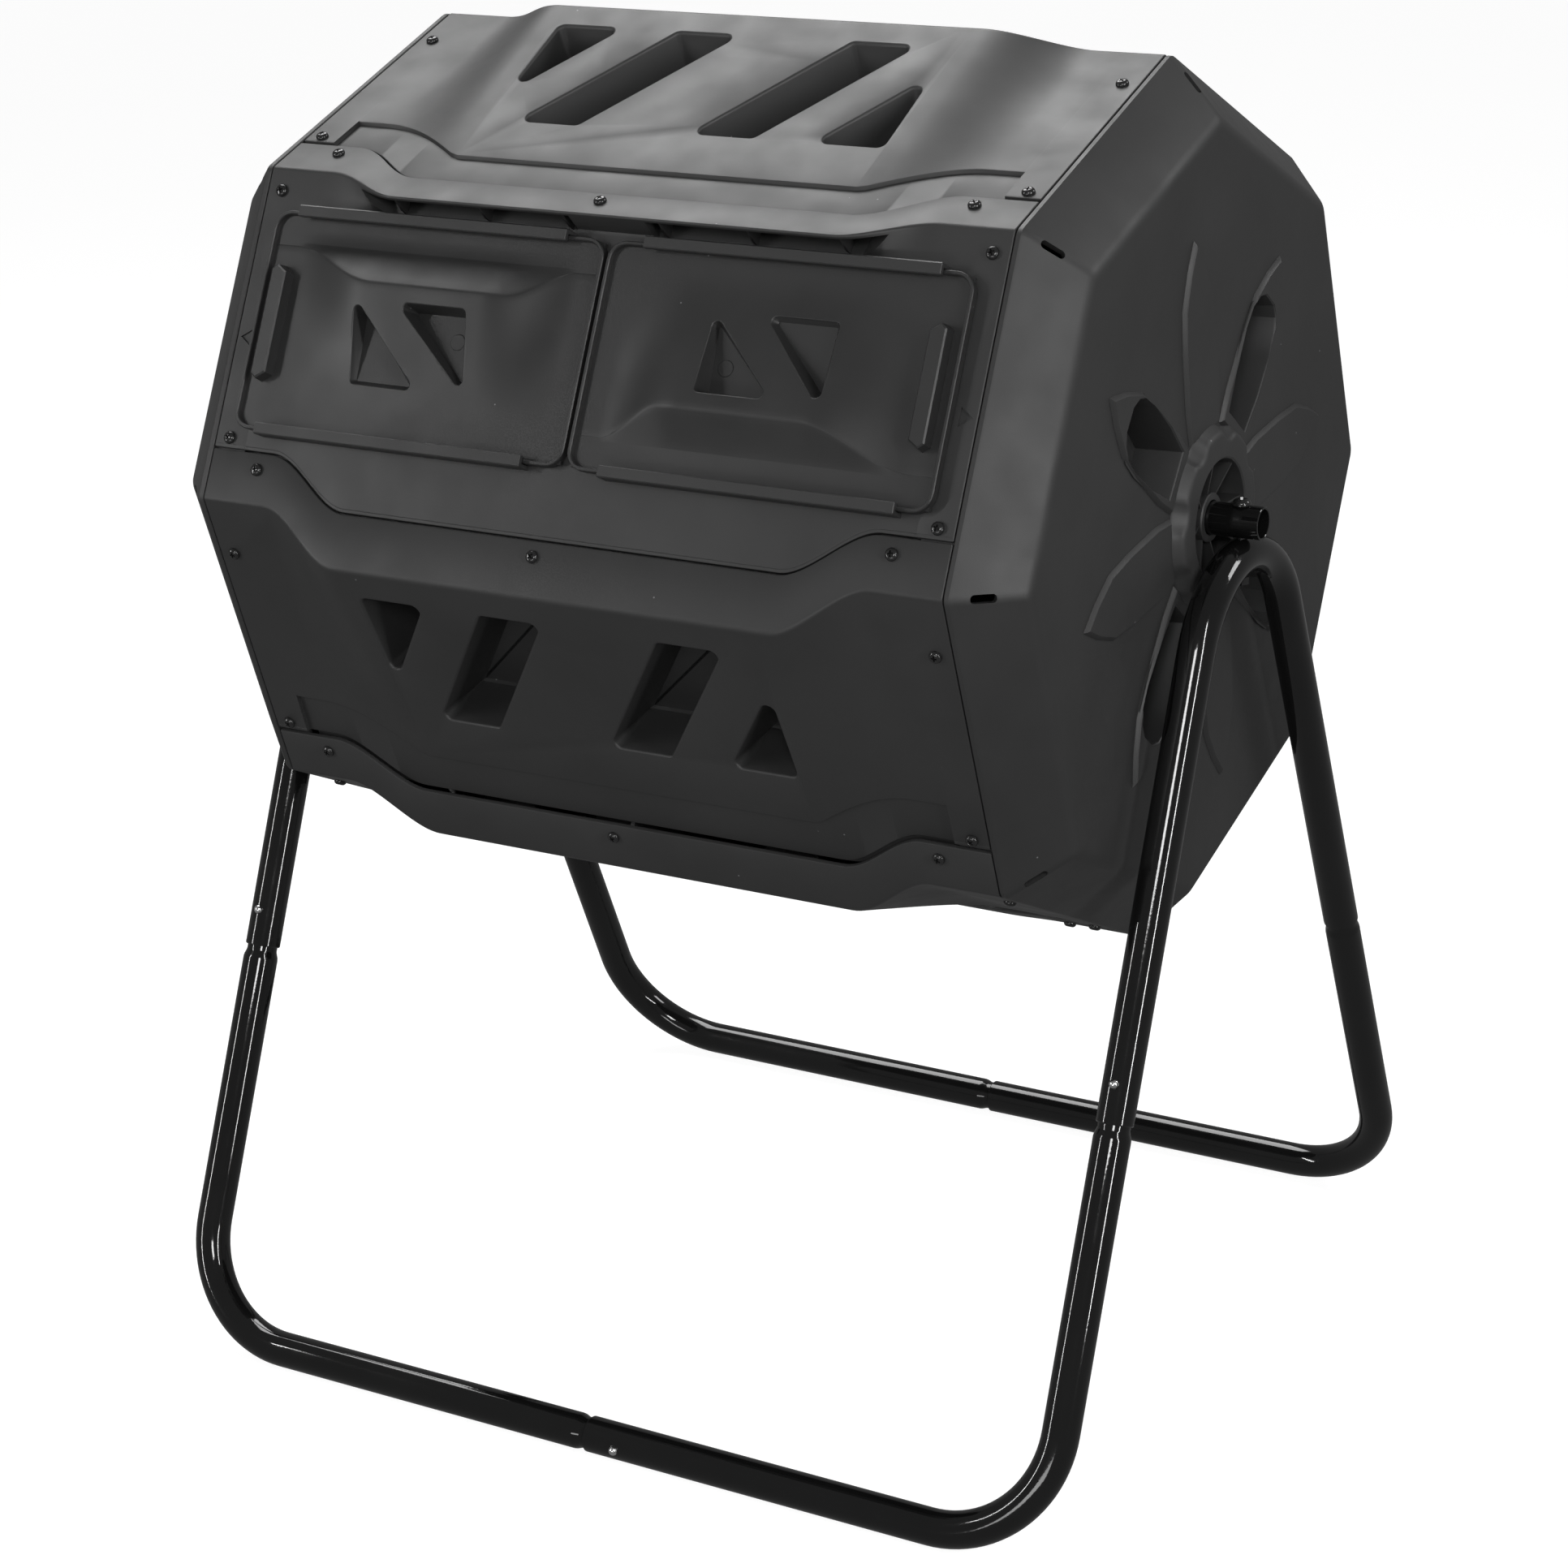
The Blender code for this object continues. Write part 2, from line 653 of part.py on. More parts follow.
def door_panel_mesh():
    panel = panel_shell("door_panel_shell", door_panel_profile, (HOOD_BOSS - 0.002, HOOD_BOSS + 0.002))
    for x in HOOD_RIBS:
        for side in (-1, 1):
            join(panel, hood_rib_mesh(side * x))
    for side in (-1, 1):
        for at_top in (True, False):
            join(panel, rail_mesh(side, at_top))
        cut(panel, arrow_mesh(side))
        low = place(side * OPENING_INNER, OPENING_TOP, -0.01)
        high = place(side * OPENING_OUTER, OPENING_BOTTOM, 0.01)
        cut(panel, box_mesh("door_opening", [min(pair) for pair in zip(low, high)],
                            [max(pair) for pair in zip(low, high)]))
    drill(panel, screw_places(DOOR_END_SCREW_DOWN) + tongue_screw_places())
    return baked_mesh(panel, "door_panel")


# ---------------------------------------------------------------- doors

def door_mesh():
    """The left door, flat on top of the drum. The right door is the same piece turned half round."""
    middle_x = -(DOOR_INNER + DOOR_OUTER) / 2
    middle_down = (DOOR_TOP + DOOR_BOTTOM) / 2
    half_x = (DOOR_OUTER - DOOR_INNER) / 2
    half_down = (DOOR_BOTTOM - DOOR_TOP) / 2

    def at(u, v, out):
        return place(middle_x + u, middle_down + v, out)

    def plate(name, inset, low, high):
        corners = [(-half_x + inset, -half_down + inset), (half_x - inset, -half_down + inset),
                   (half_x - inset, half_down - inset), (-half_x + inset, half_down - inset)]
        outline = rounded(corners, DOOR_CORNER - inset, 3)
        return prism_mesh(name, [at(*point, low) for point in outline],
                          [at(*point, high) for point in outline])

    top = DOOR_LIFT + DOOR_PLATE
    peak = top + BULGE_HEIGHT
    door = new_object("door_shell", plate("door", 0, DOOR_LIFT, DOOR_LIFT + DOOR_RIM_HEIGHT), cutters)
    cut(door, plate("door_tray", DOOR_RIM_WIDTH, top, top + 0.02))
    ledge = -half_down + 0.022
    foot = [(-half_x + 0.021, ledge), (half_x - 0.019, ledge), (half_x - 0.016, half_down - 0.017),
            (-half_x + 0.024, half_down - 0.017)]
    crown = [(-half_x + 0.0677, ledge + 0.019), (half_x - 0.0727, ledge + 0.019)]
    low_crown = [(half_x - 0.0697, half_down - 0.0403), (-half_x + 0.0677, half_down - 0.0403)]

    def bulge(name, depth):
        inset = depth * 1.4
        points = [at(*point, top - 0.0012 - depth) for point in grown(foot, -inset)]
        points += [at(*point, peak - depth) for point in grown(crown + low_crown, -inset)[:2]]
        points += [at(*point, peak - 0.0035 - depth) for point in grown(crown + low_crown, -inset)[2:]]
        return hull_mesh(name, points)

    join(door, bulge("bulge", 0.0))
    cut(door, bulge("bulge_hollow", 0.0028))
    upper, lower = -half_down + 0.0553, half_down - 0.0383
    triangles = ([(-0.046, upper), (-0.044, lower), (0.008, lower)],
                 [(-0.012, upper), (0.042, upper), (0.044, lower - 0.001)])
    for corners in triangles:
        wall = grown(rounded(corners, 0.003), 0.002)
        join(door, prism_mesh("triangle_wall", [at(*p, DOOR_LIFT + 0.0002) for p in wall],
                              [at(*p, top + 0.0055) for p in wall]))
    for corners in triangles:
        outline = rounded(corners, 0.003)
        narrow = grown(outline, -0.0015)
        cut(door, prism_mesh("triangle_space", [at(*p, top - 0.0003) for p in narrow],
                             [at(*p, peak + 0.004) for p in outline]))
    grip = [(-half_x + 0.0075, -0.034), (-half_x + 0.013, -0.037), (-half_x + 0.0195, -0.033),
            (-half_x + 0.0195, 0.038), (-half_x + 0.013, 0.041), (-half_x + 0.0075, 0.038)]
    join(door, prism_mesh("grip", [at(*p, top - 0.0012) for p in grip],
                          [at(*p, top + 0.009) for p in grown(grip, -0.0012)]))
    return baked_mesh(door, "door")


# ---------------------------------------------------------------- end caps and divider

def toward(angle, radius, across, x):
    """A point at a radius along a direction seen from the end of the drum, and across it."""
    direction = Vector((0, math.cos(angle), math.sin(angle)))
    sideways = Vector((0, -math.sin(angle), math.cos(angle)))
    return direction * radius + sideways * across + Vector((x, 0, 0))


def spear(points):
    """A symmetric outline (along, across) from its half; a point on the middle line is used once."""
    half = list(points)
    return half + [(along, -across) for along, across in reversed(half) if across > 0]


def spear_mesh(name, angle, outline, shrink, low, high):
    upper = grown(outline, -shrink)
    return prism_mesh(name, [toward(angle, *point, low) for point in outline],
                      [toward(angle, *point, high) for point in upper])


def cap_mesh():
    """The right-hand cap about the axle, with the octagon's first corner along +Z."""
    inner_flat = FLAT_RADIUS - WALL - GAP
    sleeve_out = inner_flat / math.cos(STEP / 2)
    sleeve_in = (inner_flat - WALL) / math.cos(STEP / 2)
    back = CAP_FACE_X - WALL
    shell_profile = [(0.060, CAP_FACE_X), (CAP_FACE_RADIUS, CAP_FACE_X),
                     (CORNER_RADIUS, CAP_START + CAP_RIM), (CORNER_RADIUS, CAP_START),
                     (sleeve_out, CAP_START), (sleeve_out, CAP_START - SLEEVE_LENGTH),
                     (sleeve_in, CAP_START - SLEEVE_LENGTH),
                     (sleeve_in, CAP_START + 0.002), (CAP_FACE_RADIUS - 0.0014, back), (0.060, back)]
    shell = turned_mesh("cap_shell", shell_profile, SIDES)
    to_axle = Matrix.Rotation(math.pi / 2, 4, "Y")
    shell.transform(Matrix.Rotation(math.pi / 2, 4, "X") @ to_axle)
    cap = new_object("cap", shell, cutters)

    bore = (AXLE_RADIUS + BEARING_CLEARANCE) / math.cos(math.pi / 16)
    boss_top = CAP_FACE_X + BOSS_HEIGHT
    floor = boss_top - RECESS_DEPTH
    core = AXLE_RADIUS - 0.003
    boss_profile = [(core, boss_top - 0.006), (HUB_RADIUS, boss_top - 0.006), (HUB_RADIUS, floor),
                    (RECESS_RADIUS, floor), (RECESS_RADIUS, boss_top), (BOSS_TOP_RADIUS, boss_top),
                    (BOSS_BASE_RADIUS, CAP_FACE_X - 0.0006), (BOSS_BASE_RADIUS, back + 0.0003),
                    (RECESS_RADIUS + WALL, back + 0.0003), (RECESS_RADIUS + WALL, floor - WALL),
                    (HUB_RADIUS, floor - WALL), (HUB_RADIUS, floor - 0.024), (core, floor - 0.024)]
    boss = turned_mesh("boss", boss_profile, 16)
    boss.transform(to_axle @ Matrix.Rotation(math.pi / 16, 4, "Z"))   # its corners miss the shell's
    join(cap, boss)
    petal_angles = [math.pi / 2 + PETAL_TURN + k * math.tau / PETALS for k in range(PETALS)]
    for angle in petal_angles:
        join(cap, spear_mesh("petal", angle, spear(PETAL_OUTLINE), 0.002, CAP_FACE_X - WALL / 2,
                             CAP_FACE_X + PETAL_HEIGHT))
    hollow = spear(PETAL_POCKET)
    for angle in petal_angles[1::2]:
        wall = grown(hollow, 0.003)
        join(cap, spear_mesh("petal_wall", angle, wall, -0.002, CAP_FACE_X - PETAL_POCKET_DEPTH - WALL,
                             CAP_FACE_X - WALL / 2))
    for angle in petal_angles[1::2]:
        cut(cap, spear_mesh("petal_space", angle, grown(hollow, -0.002), -0.002,
                            CAP_FACE_X - PETAL_POCKET_DEPTH, CAP_FACE_X + PETAL_HEIGHT + 0.001))
    for k in range(HUB_RIBS):
        turn = Matrix.Rotation(k * math.pi / HUB_RIBS + PETAL_TURN, 4, "X")
        low = (floor - WALL / 2, -RECESS_RADIUS - 0.001, -RIB_THICKNESS / 2)
        high = (boss_top - 0.009, RECESS_RADIUS + 0.001, RIB_THICKNESS / 2)
        rib = box_mesh("hub_rib", low, high)
        rib.transform(turn)
        join(cap, rib)
    cut(cap, rod_mesh("bore", bore, (floor - 0.03, 0, 0), (boss_top + 0.01, 0, 0), 16))
    for k in range(SIDES):
        angle = math.pi / 2 + k * STEP
        rim = toward(angle, CORNER_RADIUS, 0, CAP_START + CAP_RIM)
        face = toward(angle, CAP_FACE_RADIUS, 0, CAP_FACE_X)
        along = (face - rim).normalized()
        across = Vector((0, -math.sin(angle), math.cos(angle)))
        deep = along.cross(across).normalized()
        centre = rim.lerp(face, VENT_PLACE)
        slot = []
        for reach, side in VENT_OUTLINE:
            slot.append(centre + along * reach * VENT_LENGTH / 2 + across * side * VENT_WIDTH / 2)
        cut(cap, prism_mesh("vent", [p - deep * 0.012 for p in slot], [p + deep * 0.012 for p in slot]))
    for k in range(SIDES):
        rows = DOOR_END_SCREW_DOWN if k == DOOR_SIDE else END_SCREW_DOWN
        turn = Matrix.Rotation((k + 0.5) * STEP, 3, "X")
        for down in rows:
            point, direction = place(END_SCREW_X, down, 0), Vector((0, 0, 1))
            cut(cap, screw_hole_mesh(turn @ point, turn @ direction))
    return baked_mesh(cap, "end_cap")


def divider_mesh():
    """The wall between the chambers, with an axle sleeve and a screw tab on each side."""
    clear = DIVIDER_CLEARANCE
    start = SWELL * math.cos(STEP)
    deep = TONGUE_SINK + TONGUE_WALL + clear
    lip_under = LIP_SINK + WALL + clear
    tongue_end = lip_end(0) + TONGUE_MIDDLE
    under = -WALL - clear
    under_crease = [on_side_above(SWELL - WALL * math.tan(STEP / 2) - clear, under)]
    hood_bottom = -HOOD_SINK + under
    under_hood = [on_side_above(TAB_END, under), (0.0124, hood_bottom), (HOOD_FLOOR + 0.003, hood_bottom),
                  (HOOD_FLOOR + 0.005, under)]
    lower_edge = [(face_end(0) - 0.006, under), (face_end(0) - 0.004, -lip_under),
                  (lip_end(0) - 0.006, -lip_under), (lip_end(0) - 0.005, -deep),
                  (tongue_end + clear, -deep), (SIDE_WIDTH + TAB_START - clear, under)]
    outline = []
    for k in range(SIDES):
        turn = Matrix.Rotation((k + 0.5) * STEP, 3, "X")
        section = (under_hood if k == DOOR_SIDE else under_crease) + lower_edge
        outline += [turn @ place(0, *point) for point in section]
    half = Vector((DIVIDER_THICKNESS / 2, 0, 0))
    plate = prism_mesh("divider_plate", [p - half for p in outline], [p + half for p in outline])
    divider = new_object("divider_plate", plate, cutters)
    core = AXLE_RADIUS - 0.003
    sleeve_profile = [(core, 0.012), (HUB_RADIUS, 0.012), (HUB_RADIUS, -0.012), (core, -0.012)]
    sleeve = turned_mesh("divider_sleeve", sleeve_profile, 16)
    sleeve.transform(Matrix.Rotation(math.pi / 2, 4, "Y"))
    join(divider, sleeve)
    down = SIDE_WIDTH + MIDDLE_SCREW_DOWN
    for k in range(SIDES):
        tab = box_mesh("divider_tab", place(-TAB_REACH, SIDE_WIDTH + TAB_END, -WALL - GAP - TAB_THICKNESS),
                       place(0, SIDE_WIDTH + TAB_START, -WALL - GAP))
        turn = Matrix.Rotation((k + 0.5) * STEP, 4, "X")
        tab.transform(turn)
        join(divider, tab)
    bore = (AXLE_RADIUS + BEARING_CLEARANCE) / math.cos(math.pi / 16)
    cut(divider, rod_mesh("divider_bore", bore, (-0.03, 0, 0), (0.03, 0, 0), 16))
    for k in range(SIDES):
        turn = Matrix.Rotation((k + 0.5) * STEP, 3, "X")
        point = place(MIDDLE_SCREW_X, down, 0)
        cut(divider, screw_hole_mesh(turn @ point, turn @ Vector((0, 0, 1))))
    return baked_mesh(divider, "divider")


# ---------------------------------------------------------------- screws, bolts, buttons

def screw_mesh():
    """A pan-head screw along Z, with the underside of its head at z = 0."""
    head = SCREW_HEAD_RADIUS
    profile = [(0.0, SCREW_HEAD_HEIGHT), (head * 0.72, SCREW_HEAD_HEIGHT * 0.78), (head, 0.0),
               (SCREW_RADIUS, 0.0), (SCREW_RADIUS, -SCREW_LENGTH + 0.002), (0.0, -SCREW_LENGTH)]
    return turned_mesh("screw", profile, 6)


def bolt_mesh(length):
    head = BOLT_HEAD_RADIUS
    profile = [(0.0, BOLT_HEAD_HEIGHT), (head * 0.7, BOLT_HEAD_HEIGHT * 0.85),
               (head, BOLT_HEAD_HEIGHT * 0.3), (head, 0.0), (BOLT_RADIUS, 0.0), (BOLT_RADIUS, -length),
               (0.0, -length)]
    return turned_mesh("axle_bolt", profile, 12)


def nut_mesh():
    half = NUT_HEIGHT / 2
    profile = [(0.0, half), (NUT_RADIUS, half), (NUT_RADIUS, -half), (0.0, -half)]
    nut = new_object("nut_blank", turned_mesh("nut_blank", profile, 6), cutters)
    hole = (BOLT_RADIUS + GAP) / math.cos(math.pi / 12)
    cut(nut, rod_mesh("nut_hole", hole, (0, 0, -0.01), (0, 0, 0.01), 12))
    return baked_mesh(nut, "axle_nut")


def button_mesh():
    """A snap button along +Z, measured from the tube's centre line."""
    top = TUBE_RADIUS + BUTTON_STAND
    wall_in = PLUG_BORE * 0.96 - GAP
    profile = [(0.0, top), (BUTTON_RADIUS * 0.7, top - 0.0009), (BUTTON_RADIUS, top - 0.0028),
               (BUTTON_RADIUS, wall_in - 0.0012), (BUTTON_FLANGE_RADIUS, wall_in - 0.0012),
               (BUTTON_FLANGE_RADIUS, wall_in - 0.0026), (0.0, wall_in - 0.0026)]
    return turned_mesh("snap_button", profile, 10)


# ---------------------------------------------------------------- stand

def arc_points(corner, toward_start, toward_end, radius, pieces):
    """Points of the arc that rounds a corner between two directions."""
    first = Vector(toward_start).normalized()
    last = Vector(toward_end).normalized()
    half = first.angle(last) / 2
    reach = radius / math.tan(half)
    centre = Vector(corner) + (first + last).normalized() * radius / math.sin(half)
    start = Vector(corner) + first * reach - centre
    end = Vector(corner) + last * reach - centre
    axis = start.cross(end).normalized()
    sweep = start.angle(end)
    return [centre + Matrix.Rotation(sweep * k / pieces, 3, axis) @ start for k in range(pieces + 1)]


APEX_HEIGHT = AXLE_HEIGHT - AXLE_RADIUS - GAP - TUBE_RADIUS
TUBE_FLOOR = TUBE_RADIUS * FACETS
LEG_DIRECTION = Vector((0, FOOT_Y, -(LEG_VIRTUAL_TOP - TUBE_FLOOR))).normalized()


def leg_centre(height):
    """Distance from the drum's middle plane of a leg's straight centre line at a height."""
    return FOOT_Y * (LEG_VIRTUAL_TOP - height) / (LEG_VIRTUAL_TOP - TUBE_FLOOR)


def leg_points(x):
    """The inverted V: two straight legs joined by an arc that touches both, below the axle."""
    slope = math.atan2(FOOT_Y, LEG_VIRTUAL_TOP - TUBE_FLOOR)
    radius = (LEG_VIRTUAL_TOP - APEX_HEIGHT) / (1 / math.sin(slope) - 1)
    top = Vector((x, 0, LEG_VIRTUAL_TOP))
    arc = arc_points(top, (0, -LEG_DIRECTION.y, LEG_DIRECTION.z), LEG_DIRECTION, radius, 8)
    front = Vector((x, -leg_centre(LEG_JOINT_HEIGHT), LEG_JOINT_HEIGHT))
    rear = Vector((x, leg_centre(LEG_JOINT_HEIGHT), LEG_JOINT_HEIGHT))
    return [front, *arc, rear]


def socket_mesh(name, mouth, inwards):
    """The space inside a tube's end that takes the next tube's plug."""
    radius = (PLUG_RADIUS + HOLE_CLEARANCE) / FACETS
    start = Vector(mouth) - Vector(inwards) * 0.002
    return rod_mesh(name, radius, start, Vector(mouth) + Vector(inwards) * (PLUG_LENGTH + 0.002), TUBE_SIDES)


def button_direction(front, on_floor):
    if on_floor:
        return Vector((0, front, 0))
    return Vector((0, -front * LEG_DIRECTION.z, LEG_DIRECTION.y))


def button_hole_mesh(centre, direction):
    return rod_mesh("button_hole", BUTTON_RADIUS + HOLE_CLEARANCE, centre, centre + direction * 0.02, 10)


def leg_button_centre(x, front):
    height = LEG_JOINT_HEIGHT - LEG_DIRECTION.z * BUTTON_SETBACK
    return Vector((x, front * leg_centre(height), height))


def floor_button_centre(front):
    return Vector((BUTTON_SETBACK, front * FOOT_Y, TUBE_FLOOR))


def make_leg(name, x):
    points = leg_points(x)
    radii = [TUBE_RADIUS] * len(points)
    leg = tube_object(name, points, radii, TUBE_RADIUS, parts, stand)
    cut_bore(leg, points, radii)
    for front in (-1, 1):
        mouth = Vector((x, front * leg_centre(LEG_JOINT_HEIGHT), LEG_JOINT_HEIGHT))
        upwards = Vector((0, -front * LEG_DIRECTION.y, -LEG_DIRECTION.z))
        cut(leg, socket_mesh("leg_socket", mouth, upwards))
        cut(leg, button_hole_mesh(leg_button_centre(x, front), button_direction(front, False)))
    cut(leg, rod_mesh("leg_bolt_hole", BOLT_RADIUS + HOLE_CLEARANCE, (x, 0, APEX_HEIGHT - 0.03),
                      (x, 0, APEX_HEIGHT + 0.03), 12))
    leg.data.materials.append(coated_steel)
    return leg


def make_foot(name, side, front):
    """A foot: up into the leg's socket at one end, along the floor to the middle at the other."""
    x = side * LEG_X
    down = Vector((0, front * LEG_DIRECTION.y, LEG_DIRECTION.z))
    mouth = Vector((x, front * leg_centre(LEG_JOINT_HEIGHT), LEG_JOINT_HEIGHT))
    corner = Vector((x, front * FOOT_Y, TUBE_FLOOR))
    neck = mouth + down * NECK_LENGTH
    points = [mouth - down * PLUG_LENGTH, mouth + down * NECK_LENGTH * 0.4, neck]
    radii = [PLUG_RADIUS, PLUG_RADIUS, TUBE_RADIUS]
    arc = arc_points(corner, -down, (-side, 0, 0), FOOT_BEND_RADIUS, 6)
    points += arc
    radii += [TUBE_RADIUS] * len(arc)
    along = Vector((-side, 0, 0))
    middle = Vector((0, front * FOOT_Y, TUBE_FLOOR))
    if side < 0:
        points += [middle - along * NECK_LENGTH, middle - along * NECK_LENGTH * 0.4]
        points.append(middle + along * PLUG_LENGTH)
        radii += [TUBE_RADIUS, PLUG_RADIUS, PLUG_RADIUS]
    else:
        points.append(middle)
        radii.append(TUBE_RADIUS)
    foot = tube_object(name, points, radii, TUBE_RADIUS, parts, stand)
    cut_bore(foot, points, radii)
    cut(foot, button_hole_mesh(leg_button_centre(x, front), button_direction(front, False)))
    floor_centre = floor_button_centre(front)
    outwards = button_direction(front, True)
    if side > 0:
        cut(foot, socket_mesh("foot_socket", middle, -along))
    cut(foot, button_hole_mesh(floor_centre, outwards))
    foot.data.materials.append(coated_steel)
    return foot


def make_button(name, centre, direction, mesh):
    button = new_object(name, mesh, parts, stand)
    button.location = centre
    button.rotation_euler = direction.to_track_quat("Z", "X").to_euler()
    return button


def make_stand():
    make_leg("left_leg", -LEG_X)
    make_leg("right_leg", LEG_X)
    for side, side_name in ((-1, "left"), (1, "right")):
        for front, front_name in ((-1, "front"), (1, "rear")):
            make_foot(f"{front_name}_{side_name}_foot", side, front)
    mesh = button_mesh()
    mesh.materials.append(bright_steel)
    for front, front_name in ((-1, "front"), (1, "rear")):
        for side, side_name in ((-1, "left"), (1, "right")):
            make_button(f"{front_name}_{side_name}_leg_button", leg_button_centre(side * LEG_X, front),
                        button_direction(front, False), mesh)
        make_button(f"{front_name}_floor_button", floor_button_centre(front),
                    button_direction(front, True), mesh)


def make_axle():
    left_end, right_end = (-AXLE_HALF_LENGTH, 0, AXLE_HEIGHT), (AXLE_HALF_LENGTH, 0, AXLE_HEIGHT)
    axle = new_object("axle_tube", rod_mesh("axle_tube", AXLE_RADIUS, left_end, right_end, 16), parts, stand)
    cut(axle, rod_mesh("axle_bore", AXLE_BORE, (-AXLE_HALF_LENGTH - 0.01, 0, AXLE_HEIGHT),
                       (AXLE_HALF_LENGTH + 0.01, 0, AXLE_HEIGHT), 16))
    axle.data.materials.append(coated_steel)
    length = 2 * AXLE_RADIUS + 2 * TUBE_RADIUS + NUT_HEIGHT + 0.004
    bolt = bolt_mesh(length)
    nut = nut_mesh()
    bolt.materials.append(black_steel)
    nut.materials.append(black_steel)
    for side, name in ((-1, "left"), (1, "right")):
        low, high = (side * LEG_X, 0, AXLE_HEIGHT - 0.03), (side * LEG_X, 0, AXLE_HEIGHT + 0.03)
        cut(axle, rod_mesh("axle_bolt_hole", BOLT_RADIUS + HOLE_CLEARANCE, low, high, 12))
        placed = new_object(f"{name}_axle_bolt", bolt, parts, stand)
        placed.location = (side * LEG_X, 0, AXLE_HEIGHT + AXLE_RADIUS + GAP)
        fixed = new_object(f"{name}_axle_nut", nut, parts, stand)
        fixed.location = (side * LEG_X, 0, APEX_HEIGHT - TUBE_RADIUS - 3 * GAP - NUT_HEIGHT / 2)


# ---------------------------------------------------------------- drum assembly

SIDE_NAMES = ("top_front_panel", "door_panel", "front_panel", "bottom_front_panel", "bottom_rear_panel",
              "rear_panel", "rear_upper_panel", "top_rear_panel")


def make_drum():
    side_panel = side_panel_mesh()
    side_panel.materials.append(plastic)
    door_panel = door_panel_mesh()
    door_panel.materials.append(plastic)
    for k, name in enumerate(SIDE_NAMES):
        panel = new_object(name, door_panel if k == DOOR_SIDE else side_panel, parts, drum)
        panel.rotation_euler.x = (k + 0.5) * STEP
        smooth(panel)
    door = door_mesh()
    door.materials.append(plastic)
    left = new_object("left_door", door, parts, drum)
    left.rotation_euler.x = (DOOR_SIDE + 0.5) * STEP
    middle = place(0, (DOOR_TOP + DOOR_BOTTOM) / 2, 0)
    half_turn = Matrix.Translation(middle) @ Matrix.Rotation(math.pi, 4, "Z") @ Matrix.Translation(-middle)
    right = new_object("right_door", door, parts, drum)
    right.matrix_local = Matrix.Rotation((DOOR_SIDE + 0.5) * STEP, 4, "X") @ half_turn
    smooth(left)
    cap = cap_mesh()
    cap.materials.append(plastic)
    right_cap = new_object("right_end_cap", cap, parts, drum)
    smooth(right_cap)
    left_cap = new_object("left_end_cap", mirrored_cap(cap), parts, drum)
    smooth(left_cap)
    divider = new_object("divider", divider_mesh(), parts, drum)
    divider.data.materials.append(plastic)
    add_screws()


def mirrored_cap(cap):
    """The left-hand cap is the same moulding, seen from the other end of the drum."""
    mesh = cap.copy()
    mesh.name = "left_end_cap"
    mesh.transform(Matrix.Scale(-1, 4, (1, 0, 0)))
    mesh.flip_normals()
    return mesh


def add_screws():
    mesh = screw_mesh()
    mesh.materials.append(black_steel)
    for k, panel_name in ((0, "top_front"), (DOOR_SIDE, "door_panel"), (2, "front")):
        rows = DOOR_END_SCREW_DOWN if k == DOOR_SIDE else END_SCREW_DOWN
        turn = Matrix.Rotation((k + 0.5) * STEP, 3, "X")
        for number, (point, direction) in enumerate(screw_places(rows), 1):
            screw = new_object(f"{panel_name}_screw_{number}", mesh, parts, drum)
            screw.location = turn @ (point + direction * GAP)
            screw.rotation_euler = (turn @ direction).to_track_quat("Z", "X").to_euler()


clear_scene()
parts = new_collection("compost_tumbler")
cutters = new_collection("cutters")
cutters.hide_render = True
plastic = new_material("charcoal_plastic", (0.035, 0.036, 0.038), 0.55)
coated_steel = new_material("black_coated_steel", (0.008, 0.008, 0.009), 0.22)
black_steel = new_material("black_steel", (0.012, 0.012, 0.013), 0.3, 0.6)
bright_steel = new_material("bright_steel", (0.65, 0.65, 0.67), 0.25, 1.0)

stand = bpy.data.objects.new("stand", None)
parts.objects.link(stand)
drum = bpy.data.objects.new("drum", None)
parts.objects.link(drum)
drum.location = (0, 0, AXLE_HEIGHT)
drum.rotation_euler = (REST_TURN, 0, 0)
bpy.context.view_layer.update()

make_stand()
make_axle()
make_drum()
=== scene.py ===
# %% [markdown]
# # A two-chamber compost tumbler
# The object is an eight-sided plastic drum that turns on a steel tube, held up by two bent legs.
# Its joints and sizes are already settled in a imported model. This lesson loads that model as a fixed
# frame and dresses it: soft-edged mouldings, coated tubes, screws, and the finishes they are made in.

# %% Load the frame
import math

import bmesh
import bpy
from mathutils import Matrix, Vector


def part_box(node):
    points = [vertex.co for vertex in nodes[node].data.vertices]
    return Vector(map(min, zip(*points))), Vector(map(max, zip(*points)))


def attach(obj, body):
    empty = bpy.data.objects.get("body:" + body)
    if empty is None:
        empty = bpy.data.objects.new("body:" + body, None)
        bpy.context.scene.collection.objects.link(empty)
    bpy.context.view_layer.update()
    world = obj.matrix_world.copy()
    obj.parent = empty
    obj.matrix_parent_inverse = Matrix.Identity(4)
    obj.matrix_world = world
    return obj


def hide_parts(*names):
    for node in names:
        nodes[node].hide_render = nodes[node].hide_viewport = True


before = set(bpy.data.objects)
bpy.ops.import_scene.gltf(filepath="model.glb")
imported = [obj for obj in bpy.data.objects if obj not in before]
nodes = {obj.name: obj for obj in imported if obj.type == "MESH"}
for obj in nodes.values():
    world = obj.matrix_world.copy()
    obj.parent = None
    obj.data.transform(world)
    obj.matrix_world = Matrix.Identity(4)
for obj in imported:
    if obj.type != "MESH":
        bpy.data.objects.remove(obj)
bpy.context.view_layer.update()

# %% [markdown]
# ## The sizes that the mouldings share
# Each long panel is drawn as if it lay on top of the drum, then turned about the axle into place.
# There, x runs along the drum, "down" is the way from the panel's upper corner line towards its lower
# one, and "out" is the height above the flat side. Drawing one panel this way and turning it is how
# the real drum is made too: seven of its eight sides come from one mould.

